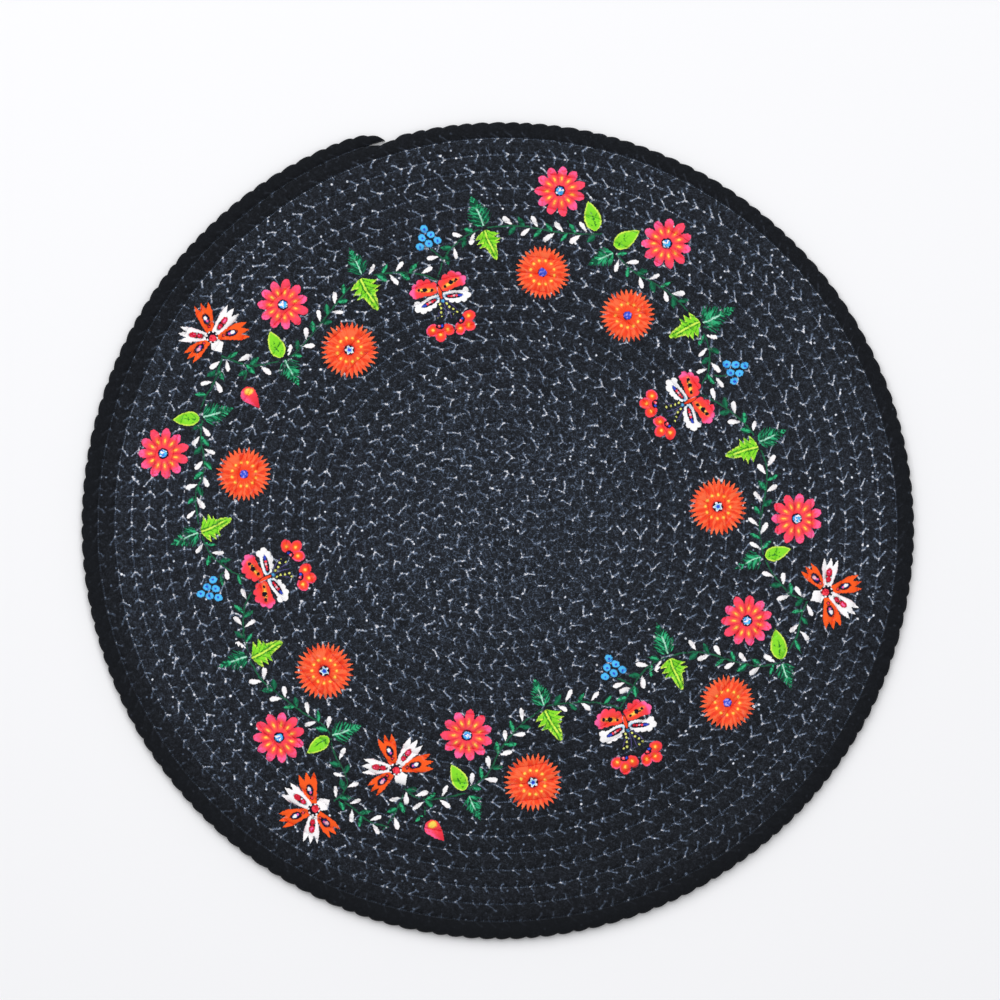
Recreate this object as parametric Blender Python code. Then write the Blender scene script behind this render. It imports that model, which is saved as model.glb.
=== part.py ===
"""Round placemat: one plaited cord coiled flat from the middle and sewn turn to turn.

Metres, +Z up. The mat lies on its flat underside at z = 0 with the middle of its outline over the
origin. The cord's outer end is at the back, a little left of the middle, and from there the cord
winds inwards anticlockwise as seen from above.
"""

import math

import bmesh
import bpy

# Overall size
OUTER_RADIUS = 0.1939  # from the coil's middle to the cord's outer side, where the last turn begins
THICKNESS = 0.0050  # up to the crest of a row
# The coiled cord
ROW_PITCH = 0.0078  # from one turn to the next
TURNS = 23.44  # of the whole cord
SEAM_HEIGHT = 0.0037  # of the sewn groove between two turns
MIDDLE_HEIGHT = 0.0045  # of the bent start of the cord
TAIL_BEARING = math.radians(106.8)  # of the cord's outer end, from +X
# The outer end narrows to a point: a quick taper, then a slow one up to the full width
TIP_SHARE = 0.80  # of the width that the quick taper gives
TIP_ANGLE = math.radians(1.6)
TAIL_ANGLE = math.radians(30)
# The rim
SCALLOPS = 166  # bulges of the plait round the rim
SCALLOP_POINTS = 4  # on each bulge
SCALLOP_DEPTH = 0.0006
RIM_HEIGHT = 0.0021  # where the outermost turn is widest
FOOT_INSET = 0.0012  # of the flat underside from the rim
# Steps of the faceted surface
STEPS = 48  # in a turn
UNDERSIDE_RINGS = (0.86, 0.56, 0.26)  # of the outer radius


def ideal_radius(angle: float) -> float:
    """Radius of a row's outer side on an even spiral, by the angle wound from the outer end."""
    return OUTER_RADIUS - ROW_PITCH * angle / math.tau


def width_share(angle: float) -> float:
    """How much of its full width the cord has, by the angle wound from its outer end."""
    quick = 1 - math.exp(-angle / TIP_ANGLE)
    slow = 1 - math.exp(-angle / TAIL_ANGLE)
    return TIP_SHARE * quick + (1 - TIP_SHARE) * slow


def seam_radius(angle: float) -> float:
    """Radius of a row's outer side, which is the sewn groove from the second turn on."""
    if angle >= math.tau:
        return ideal_radius(angle)
    return ideal_radius(angle + math.tau) + ROW_PITCH * width_share(angle)


def crest_radius(angle: float) -> float:
    """Radius of a row's crest, half-way between its two sides."""
    return (seam_radius(angle) + seam_radius(angle + math.tau)) / 2


def scallop(angle: float) -> float:
    """How far the rim draws in at this angle: nothing on a bulge, the most in a notch."""
    bulge = abs(math.sin(SCALLOPS * angle / 2))
    return SCALLOP_DEPTH * (1 - bulge)


class Coil:
    """The mat's surface, built line by line along the cord."""

    def __init__(self) -> None:
        self.mesh = bmesh.new()

    def point(self, radius: float, angle: float, height: float) -> bmesh.types.BMVert:
        """Add a point by its radius and by the angle wound from the outer end."""
        bearing = TAIL_BEARING + angle
        place = (radius * math.cos(bearing), radius * math.sin(bearing), height)
        return self.mesh.verts.new(place)

    def face(self, *corners: bmesh.types.BMVert) -> None:
        """Add a face, leaving out a corner that repeats."""
        different = list(dict.fromkeys(corners))
        if len(different) > 2:
            self.mesh.faces.new(different)

    def band(self, one: list, other: list) -> None:
        """Join two lines that have the same number of points."""
        for i in range(len(one) - 1):
            self.face(one[i], one[i + 1], other[i + 1], other[i])

    def fan(self, line: list, middle: bmesh.types.BMVert) -> None:
        """Join each stretch of a line to one point."""
        for i in range(len(line) - 1):
            self.face(line[i], line[i + 1], middle)

    def zip(self, fine: list, coarse: list) -> None:
        """Join two lines that run side by side with different numbers of points."""
        parts = len(coarse) - 1
        last = 0
        for i in range(len(fine) - 1):
            near = min(parts, round((i + 1) / (len(fine) - 1) * parts))
            if near > last:
                self.face(fine[i], coarse[near], coarse[last])
                last = near
            self.face(fine[i], fine[i + 1], coarse[last])


def rim_lines(coil: Coil, notch: bmesh.types.BMVert) -> tuple[list, list, list]:
    """The shoulder, the widest line and the foot of the rim, each closed at the cord's outer end."""
    count = SCALLOPS * SCALLOP_POINTS
    shoulder, widest, foot = [notch], [], []
    for i in range(count):
        angle = math.tau * i / count
        side = seam_radius(angle) - scallop(angle)
        if i:
            inset = ROW_PITCH * 0.16 * width_share(angle)
            shoulder.append(coil.point(side - inset, angle, THICKNESS * 0.8))
        widest.append(coil.point(side, angle, RIM_HEIGHT))
        foot.append(coil.point(side - FOOT_INSET, angle, 0))
    return tuple(line + line[:1] for line in (shoulder, widest, foot))


def top_face(coil: Coil) -> tuple[list, list, list]:
    """The rows of the upper face; returns the rim's three lines."""
    last = round(TURNS * STEPS)
    step = math.tau / STEPS
    seams = {k: coil.point(seam_radius(k * step), k * step, SEAM_HEIGHT)
             for k in range(STEPS, last + STEPS + 1)}
    crests = {k: coil.point(crest_radius(k * step), k * step, THICKNESS)
              for k in range(1, last + 1)}
    notch = seams[STEPS]
    crests[0] = notch
    rows = [crests[k] for k in range(last + 1)]
    inner = [seams[k + STEPS] for k in range(last + 1)]
    coil.band(rows, inner)
    coil.band([seams[k] for k in range(STEPS, last + 1)], rows[STEPS:])
    middle = coil.point(0, 0, MIDDLE_HEIGHT)
    hole = [seams[k] for k in range(last, last + STEPS + 1)] + [crests[last], seams[last]]
    coil.fan(hole, middle)
    lines = rim_lines(coil, notch)
    coil.zip(lines[0], rows[:STEPS + 1])
    return lines


def underside(coil: Coil, foot: list) -> None:
    """The flat face that the mat rests on, in rings from the foot inwards."""
    step = math.tau / STEPS
    outer = foot
    for share in UNDERSIDE_RINGS:
        ring = [coil.point(OUTER_RADIUS * share, k * step, 0) for k in range(STEPS)]
        ring.append(ring[0])
        if outer is foot:
            coil.zip(foot, ring)
        else:
            coil.band(outer, ring)
        outer = ring
    coil.fan(outer, coil.point(0, 0, 0))


def centre_outline(mesh: bmesh.types.BMesh) -> None:
    """Move the coil so that the middle of its outline lies over the origin."""
    for axis in (0, 1):
        places = [vertex.co[axis] for vertex in mesh.verts]
        middle = (min(places) + max(places)) / 2
        for vertex in mesh.verts:
            vertex.co[axis] -= middle


def printed_cloth() -> bpy.types.Material:
    """The cord's cloth, nearly black on its printed side."""
    material = bpy.data.materials.new("printed_cloth")
    material.use_nodes = True
    shader = material.node_tree.nodes["Principled BSDF"]
    shader.inputs["Base Color"].default_value = (0.016, 0.018, 0.025, 1)
    shader.inputs["Roughness"].default_value = 0.9
    shader.inputs["Metallic"].default_value = 0
    return material


def placemat() -> bpy.types.Object:
    """The whole mat as one closed solid."""
    coil = Coil()
    shoulder, widest, foot = top_face(coil)
    coil.band(shoulder, widest)
    coil.band(widest, foot)
    underside(coil, foot)
    centre_outline(coil.mesh)
    bmesh.ops.recalc_face_normals(coil.mesh, faces=coil.mesh.faces)
    bmesh.ops.triangulate(coil.mesh, faces=coil.mesh.faces)
    data = bpy.data.meshes.new("mat")
    coil.mesh.to_mesh(data)
    coil.mesh.free()
    data.materials.append(printed_cloth())
    data.shade_smooth()
    data.set_sharp_from_angle(angle=math.radians(50))
    return bpy.data.objects.new("mat", data)


def main() -> None:
    """Clear the scene and put the mat into its own collection."""
    for thing in list(bpy.data.objects):
        bpy.data.objects.remove(thing, do_unlink=True)
    group = bpy.data.collections.new("placemat")
    bpy.context.scene.collection.children.link(group)
    group.objects.link(placemat())


main()
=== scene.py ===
"""Dresses the round placemat of coiled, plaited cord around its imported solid.

The cord is built stitch by stitch along the same spiral that the solid has, one piece for each turn,
with a plain underside. The wreath is drawn by the materials: each flower, leaf and vine is a small
formula in its own millimetres, and the faces that it falls on take its material.
"""

import logging
import math
from collections.abc import Callable
from dataclasses import dataclass, field
from enum import Enum

import bpy
import numpy as np
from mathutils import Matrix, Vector


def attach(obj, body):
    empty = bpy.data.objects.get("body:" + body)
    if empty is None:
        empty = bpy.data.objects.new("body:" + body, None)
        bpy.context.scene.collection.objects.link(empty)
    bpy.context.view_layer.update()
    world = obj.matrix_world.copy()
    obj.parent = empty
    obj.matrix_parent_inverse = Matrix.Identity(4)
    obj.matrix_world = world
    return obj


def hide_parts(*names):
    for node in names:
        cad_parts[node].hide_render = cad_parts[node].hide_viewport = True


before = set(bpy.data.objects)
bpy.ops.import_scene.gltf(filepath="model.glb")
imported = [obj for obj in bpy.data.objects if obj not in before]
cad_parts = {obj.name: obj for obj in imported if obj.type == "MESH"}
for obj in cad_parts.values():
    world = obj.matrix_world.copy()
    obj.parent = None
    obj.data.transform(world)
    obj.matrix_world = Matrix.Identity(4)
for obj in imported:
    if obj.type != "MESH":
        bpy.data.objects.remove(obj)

MM = 0.001
TAU = math.tau
LOG = logging.getLogger("placemat")
Colour = tuple[float, float, float, float]
Array = np.ndarray
Socket = bpy.types.NodeSocket
Pair = tuple[float, float]
Floats = tuple[float, ...]


def from_screen(red: int, green: int, blue: int) -> Colour:
    """Turn an everyday 0 to 255 colour into the linear one that the shader takes.

    Args:
        red, green, blue: the colour as a screen shows it.

    Returns:
        The linear colour, opaque.
    """
    def linear(part: int) -> float:
        """One channel, from the screen's curve to linear."""
        share = part / 255
        return share / 12.92 if share <= 0.04045 else ((share + 0.055) / 1.055) ** 2.4
    return linear(red), linear(green), linear(blue), 1.0


# Shader maths


def operator(operation: str, flipped: bool = False) -> Callable[..., "Value"]:
    """Make an operator or method of Value that adds one Math node.

    Args:
        operation: the Math node's operation.
        flipped: whether self is the last term, and not the first.

    Returns:
        The operator.
    """
    def apply(self: "Value", *others: "Number") -> "Value":
        """Add the Math node of self and the other term, if there is one."""
        terms = (*others, self) if flipped else (self, *others)
        return self.net.math(operation, *terms)
    return apply


class Value:
    """A number that varies over the surface, with the operators of plain arithmetic."""

    def __init__(self, net: "Network", socket: Socket) -> None:
        """Keep the socket that the number comes from."""
        self.net = net
        self.socket = socket

    __add__ = operator("ADD")
    __radd__ = operator("ADD", flipped=True)
    __sub__ = operator("SUBTRACT")
    __rsub__ = operator("SUBTRACT", flipped=True)
    __mul__ = operator("MULTIPLY")
    __rmul__ = operator("MULTIPLY", flipped=True)
    __truediv__ = operator("DIVIDE")
    __rtruediv__ = operator("DIVIDE", flipped=True)
    __mod__ = operator("FLOORED_MODULO")
    __rmod__ = operator("FLOORED_MODULO", flipped=True)
    __pow__ = operator("POWER")  # for a first term that isn't negative
    __rpow__ = operator("POWER", flipped=True)
    __abs__ = operator("ABSOLUTE")
    whole = operator("FLOOR")  # the whole number below self
    part = operator("FRACT")  # what self has over that
    wave = operator("SINE")  # of self in radians
    cosine = operator("COSINE")
    least = operator("MINIMUM")  # the smaller of the two
    most = operator("MAXIMUM")  # the larger of the two
    above = operator("GREATER_THAN")  # 1 where self is above the other, and 0 elsewhere

    def root(self) -> "Value":
        """The square root, and 0 below 0."""
        return self.net.math("SQRT", self.most(0.0))

    def share(self) -> "Value":
        """Self, kept between 0 and 1."""
        return self.most(0.0).least(1.0)

    def notched(self) -> "Value":
        """1 at each whole number, down to 0 half-way to the next."""
        return abs(self.part() - 0.5) * 2

    def hypotenuse(self, other: "Value") -> "Value":
        """The long side of the right-angled triangle that has these two sides."""
        return (self * self + other * other).root()

    def rise(self, low: float, high: float) -> "Value":
        """A soft step from 0 at low up to 1 at high."""
        return self.net.step(self, low, high, 0.0, 1.0)

    def fall(self, low: float, high: float) -> "Value":
        """A soft step from 1 at low down to 0 at high."""
        return self.net.step(self, low, high, 1.0, 0.0)


Number = Value | float


class Network:
    """The nodes of one material, added by expressions and by one method for any other node."""

    def __init__(self, tree: bpy.types.NodeTree) -> None:
        """Start with an empty tree."""
        self.tree = tree
        tree.nodes.clear()

    def node(self, kind: str, settings: dict | None = None, inputs: dict | None = None) -> bpy.types.Node:
        """Add a node.

        Args:
            kind: the node's type.
            settings: its own settings, which are set before its sockets.
            inputs: values, sockets or Values by the name or number of the socket that takes them.

        Returns:
            The new node.
        """
        made = self.tree.nodes.new(kind)
        for name, setting in (settings or {}).items():
            setattr(made, name, setting)
        for key, given in (inputs or {}).items():
            given = given.socket if isinstance(given, Value) else given
            if isinstance(given, Socket):
                self.tree.links.new(given, made.inputs[key])
            else:
                made.inputs[key].default_value = given
        return made

    def value(self, made: bpy.types.Node, output: int | str = 0) -> Value:
        """A node's output as a number."""
        return Value(self, made.outputs[output])

    def math(self, operation: str, *terms: Number) -> Value:
        """Add one Math node."""
        inputs = dict(enumerate(terms))
        return self.value(self.node("ShaderNodeMath", {"operation": operation}, inputs))

    def step(self, given: Value, low: float, high: float, before: float, after: float) -> Value:
        """A soft step of a number between two limits."""
        inputs = {0: given, 1: low, 2: high, 3: before, 4: after}
        return self.value(self.node("ShaderNodeMapRange", {"interpolation_type": "SMOOTHSTEP"}, inputs))

    def vector(self, operation: str, *terms: object) -> Socket:
        """Add one Vector Math node that gives a vector."""
        inputs = dict(enumerate(terms))
        return self.node("ShaderNodeVectorMath", {"operation": operation}, inputs).outputs["Vector"]

    def scaled(self, vector: Socket, size: Number) -> Socket:
        """A vector or colour times a number."""
        inputs = {0: vector, "Scale": size}
        return self.node("ShaderNodeVectorMath", {"operation": "SCALE"}, inputs).outputs[0]

    def length(self, vector: Socket) -> Value:
        """The length of a vector."""
        made = self.node("ShaderNodeVectorMath", {"operation": "LENGTH"}, {0: vector})
        return self.value(made, "Value")

    def distance(self, vector: Socket, x: float, y: float) -> Value:
        """How far a point is from (x, y)."""
        made = self.node("ShaderNodeVectorMath", {"operation": "DISTANCE"}, {0: vector, 1: (x, y, 0.0)})
        return self.value(made, "Value")

    def split(self, vector: Socket) -> tuple[Value, Value, Value]:
        """The three numbers of a vector."""
        made = self.node("ShaderNodeSeparateXYZ", None, {0: vector})
        return self.value(made, 0), self.value(made, 1), self.value(made, 2)

    def join(self, x: Number, y: Number, z: Number = 0.0) -> Socket:
        """A vector of three numbers."""
        return self.node("ShaderNodeCombineXYZ", None, {0: x, 1: y, 2: z}).outputs[0]

    def moved(self, vector: Socket, x: float, y: float, turn: float = 0.0,
              size: Pair = (1.0, 1.0)) -> Socket:
        """See a point from a frame of its own.

        Args:
            vector: the point.
            x, y: the frame's origin.
            turn: how far the frame is turned anticlockwise, in degrees.
            size: the frame's unit lengths.

        Returns:
            The point in that frame.
        """
        inputs = {"Vector": vector, "Location": (x, y, 0.0), "Rotation": (0.0, 0.0, math.radians(turn)),
                  "Scale": (size[0], size[1], 1.0)}
        return self.node("ShaderNodeMapping", {"vector_type": "TEXTURE"}, inputs).outputs[0]

    def attribute(self, name: str) -> Socket:
        """A vector that the mesh carries."""
        return self.node("ShaderNodeAttribute", {"attribute_name": name}).outputs["Vector"]

    def millimetres(self) -> Socket:
        """The place on the mat in millimetres."""
        return self.scaled(self.node("ShaderNodeTexCoord").outputs["Object"], 1000.0)

    def random(self, seed: Value, salt: float = 0.0) -> Value:
        """A number from 0 to 1 that depends on a whole number alone."""
        made = self.node("ShaderNodeTexWhiteNoise", {"noise_dimensions": "1D"}, {"W": seed + salt})
        return self.value(made, "Value")

    def noise(self, vector: Socket, scale: float, detail: float = 2.0) -> Value:
        """Cloudy noise, around 0.5."""
        inputs = {"Vector": vector, "Scale": scale, "Detail": detail}
        return self.value(self.node("ShaderNodeTexNoise", {"noise_dimensions": "3D"}, inputs), 0)

    def mix(self, share: Number, under: object, over: object) -> Socket:
        """Mix two colours: under at 0, over at 1."""
        settings = {"data_type": "RGBA", "clamp_factor": True}
        return self.node("ShaderNodeMix", settings, {0: share, 6: under, 7: over}).outputs[2]


class Inks(Enum):
    """The inks of the print."""

    SCARLET = from_screen(252, 76, 38)
    SALMON = from_screen(255, 118, 74)
    FLAME = from_screen(255, 94, 34)
    ROSE = from_screen(255, 68, 84)
    PINK = from_screen(255, 104, 168)
    CRIMSON = from_screen(206, 30, 52)
    YELLOW = from_screen(255, 222, 92)
    AMBER = from_screen(255, 138, 52)
    WHITE = from_screen(255, 253, 254)
    BLUSH = from_screen(246, 186, 200)
    NIGHT = from_screen(20, 18, 34)
    BLUE = from_screen(40, 104, 224)
    DEEP = from_screen(58, 84, 216)
    LILAC = from_screen(168, 164, 244)
    SKY = from_screen(84, 196, 250)
    LIME = from_screen(138, 226, 48)
    LEMON = from_screen(224, 246, 96)
    GRASS = from_screen(44, 124, 40)
    FERN = from_screen(16, 84, 60)
    MINT = from_screen(56, 184, 126)
    PALE = from_screen(176, 232, 208)
    STEM = from_screen(34, 98, 68)
    BEAD = from_screen(232, 236, 124)
    FEELER = from_screen(84, 78, 128)


class Ink:
    """The print of one motif, laid on the cord shape by shape in the motif's own millimetres."""

    def __init__(self, net: Network, ground: Socket) -> None:
        """Start with the ground that nothing is printed on yet.

        Args:
            net: the material's nodes.
            ground: the ground's colour.
        """
        self.net = net
        self.colour = ground
        self.cover: Number = 0.0
        self.shape: Number = 1.0

    def enter(self, place: Socket, grain: Value) -> None:
        """Take up the place in the motif.

        Args:
            place: the place in the motif's own millimetres, with the motif's own number.
            grain: noise that roughens the print.
        """
        self.x, self.y, self.kind = self.net.split(place)
        self.point = self.net.join(self.x, self.y)
        self.grain = grain

    def lay(self, shape: Value, colour: Inks) -> None:
        """Print a shape over what is there.

        Args:
            shape: 1 inside the shape, 0 outside it.
            colour: the ink.
        """
        self.shape = shape
        self.colour = self.net.mix(shape, self.colour, colour.value)
        self.cover = shape.most(self.cover)

    def tint(self, share: Value, colour: Inks) -> None:
        """Change this share of the shape that was printed last to another ink."""
        self.colour = self.net.mix(share * self.shape, self.colour, colour.value)

    def turns(self, count: int) -> Value:
        """The bearing of the place about the motif's middle, in parts of a round of so many."""
        return self.net.math("ARCTAN2", self.y, self.x) * (count / TAU)


# The drawn motifs, each in millimetres about its own middle or base


@dataclass(frozen=True)
class Blob:
    """An oval part of a shape: its middle, half sizes and turn."""

    x: float
    y: float
    wide: float
    tall: float
    turn: float = 0.0

    def gap(self, net: Network, point: Socket) -> Value:
        """How far a point is outside the oval, in about millimetres, and below 0 inside it."""
        seen = net.moved(point, self.x, self.y, self.turn, (self.wide, self.tall))
        return (net.length(seen) - 1) * min(self.wide, self.tall)

    def holds(self, x: Array, y: Array, spare: float = 0.35) -> Array:
        """Whether points lie in the oval or its margin.

        Args:
            x, y: the points.
            spare: the width of the margin.

        Returns:
            True for each such point.
        """
        turn = math.radians(self.turn)
        along = (x - self.x) * math.cos(turn) + (y - self.y) * math.sin(turn)
        off = (y - self.y) * math.cos(turn) - (x - self.x) * math.sin(turn)
        return (along / (self.wide + spare)) ** 2 + (off / (self.tall + spare)) ** 2 < 1


def any_holds(blobs: tuple[Blob, ...], x: Array, y: Array) -> Array:
    """Whether points lie in any of several ovals or its margin."""
    return np.any([blob.holds(x, y) for blob in blobs], axis=0)


def union_gap(net: Network, point: Socket, blobs: tuple[Blob, ...]) -> Value:
    """How far a point is outside several ovals that make one shape.

    Args:
        net: the material's nodes.
        point: the point.
        blobs: the ovals.

    Returns:
        The smallest of their distances.
    """
    gap = blobs[0].gap(net, point)
    for blob in blobs[1:]:
        gap = gap.least(blob.gap(net, point))
    return gap


@dataclass(frozen=True)
class Motif:
    """Anything that the wreath is made of."""

    name: str = "plain_ground"
    reach: float = 0.0

    def covers(self, x: Array, y: Array) -> Array:
        """Whether the motif's ink can fall on points that are given in its own millimetres."""
        return np.hypot(x, y) < self.reach

    def draw(self, ink: Ink) -> None:
        """Print the motif; the plain ground has nothing to print."""


@dataclass(frozen=True)
class Outlined(Motif):
    """A motif along its own y axis whose outline is given by half widths, the same on both sides."""

    heights: Floats = ()
    halves: Floats = ()
    ends: Pair = (0.0, 0.0)

    def covers(self, x: Array, y: Array) -> Array:
        """Whether points lie in the outline.

        Args:
            x, y: the points, in millimetres.

        Returns:
            True for each point inside.
        """
        widest = np.interp(y, self.heights, self.halves)
        low, high = self.ends
        return (np.abs(x) < widest) & (y > low) & (y < high)


@dataclass(frozen=True)
class Daisy(Motif):
    """A rose-red flower of broad petals."""

    name: str = "daisy_print"
    reach: float = 12.4
    petals: int = 11
    notch: float = 8.0
    tip: float = 12.1
    blue: float = 1.7

    def draw(self, ink: Ink) -> None:
        """Print the petals, their amber hearts and the eye.

        Args:
            ink: the print so far.
        """
        net = ink.net
        away = net.length(ink.point)
        turns = ink.turns(self.petals) + ink.kind
        off = turns.notched()
        lot = net.random(turns.whole() % self.petals, 4.0)
        bow = (1 - (off / 0.88) ** 1.7).most(0.0) ** 0.6
        rim = self.notch + (self.tip - self.notch - 0.8 * lot) * bow
        ink.lay((away - rim).fall(-0.16, 0.14), Inks.ROSE)
        ink.tint(away.rise(6.8, 10.6) * (0.25 + lot.rise(0.35, 0.75)) * ink.grain.rise(0.25, 0.6), Inks.PINK)
        ink.tint(off.rise(0.62, 1.0) * away.rise(3.4, 5.4) * away.fall(8.0, 9.6) * 0.5, Inks.CRIMSON)
        across = off * away * (math.pi / self.petals)
        dash = (across * across * 2.6 + (away - 5.9) * (away - 5.9) * 0.55).root()
        ink.tint(dash.fall(0.7, 2.2) * 0.6, Inks.AMBER)
        ink.tint(dash.fall(0.35, 0.95) * ink.grain.rise(0.22, 0.5), Inks.YELLOW)
        self.eye(ink, away)

    def eye(self, ink: Ink, away: Value) -> None:
        """Print the blue eye, with white bits in it and a broken black ring round it.

        Args:
            ink: the print so far.
            away: how far it is from the flower's middle.
        """
        net = ink.net
        size = self.blue
        flecks = net.noise(net.vector("ADD", ink.point, net.join(ink.kind, ink.kind, 0.0)), 0.55, 1.0)
        ink.tint((away + ink.grain * 1.2).fall(size + 1.2, size + 1.6), Inks.NIGHT)
        ink.tint(away.fall(size - 0.1, size + 0.25), Inks.BLUE)
        ink.tint(away.fall(size - 0.2, size + 0.1) * flecks.rise(0.46, 0.54), Inks.SKY)
        ink.tint(away.fall(size + 0.1, size + 0.5) * (ink.grain - flecks).rise(0.02, 0.1), Inks.WHITE)


@dataclass(frozen=True)
class Aster(Motif):
    """A scarlet flower of many fine rays, with a deep blue eye."""

    name: str = "aster_print"
    reach: float = 13.2
    rays: int = 32
    base: float = 9.4
    tip: float = 12.8
    beads: int = 12

    def draw(self, ink: Ink) -> None:
        """Print the rays, the ring of beads and the eye.

        Args:
            ink: the print so far.
        """
        net = ink.net
        away = net.length(ink.point)
        bearing = net.math("ARCTAN2", ink.y, ink.x) / TAU
        turns = bearing * self.rays + ink.kind
        off = turns.notched()
        lot = net.random(turns.whole() % self.rays, 9.0)
        rim = self.base + (self.tip - self.base - 0.9 * lot) * (1.06 - off)
        ink.lay((away - rim).fall(-0.16, 0.12), Inks.SCARLET)
        ink.tint(away.rise(self.base - 0.6, self.tip - 0.6) * 0.8, Inks.SALMON)
        streak = net.noise(net.join(turns * 1.3, away * 0.2, 0.0), 1.0, 1.0)
        ink.tint(streak.rise(0.44, 0.62) * away.rise(2.5, 5.0) * 0.8, Inks.SALMON)
        ink.tint(streak.fall(0.34, 0.46) * away.rise(5.0, 8.0) * 0.3, Inks.CRIMSON)
        across = (bearing * self.beads + ink.kind).notched() * away * (math.pi / self.beads)
        bead = across.hypotenuse(away - 5.6)
        ink.tint(bead.fall(0.5, 1.5) * 0.55, Inks.AMBER)
        ink.tint(bead.fall(0.3, 0.8) * ink.grain.rise(0.2, 0.45), Inks.YELLOW)
        self.eye(ink, away)

    def eye(self, ink: Ink, away: Value) -> None:
        """Print the eye.

        Args:
            ink: the print so far.
            away: how far it is from the flower's middle.
        """
        ragged = away + ink.grain * 1.2
        ink.tint(ragged.fall(2.6, 3.0) * ink.grain.rise(0.42, 0.54), Inks.NIGHT)
        ink.tint(ragged.fall(2.2, 2.6), Inks.DEEP)
        ink.tint(ragged.fall(1.9, 2.3) * ink.grain.fall(0.4, 0.5), Inks.LILAC)


@dataclass(frozen=True)
class StarAster(Aster):
    """An aster with a pale star in its eye."""

    name: str = "star_aster_print"
    reach: float = 13.7
    base: float = 9.8
    tip: float = 13.5

    def eye(self, ink: Ink, away: Value) -> None:
        """Print the crimson round, the pale star on black and its blue middle.

        Args:
            ink: the print so far.
            away: how far it is from the flower's middle.
        """
        point = (ink.turns(5) + ink.kind).notched()
        ink.tint((away + ink.grain).fall(3.3, 3.8) * 0.55, Inks.CRIMSON)
        ink.tint((away + ink.grain).fall(2.7, 3.1), Inks.NIGHT)
        ink.tint((away + point * 1.2).fall(2.2, 2.5), Inks.WHITE)
        ink.tint((away + point * 0.8).fall(1.5, 1.9) * 0.8, Inks.SKY)
        ink.tint(away.fall(0.65, 1.0), Inks.DEEP)


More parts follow.
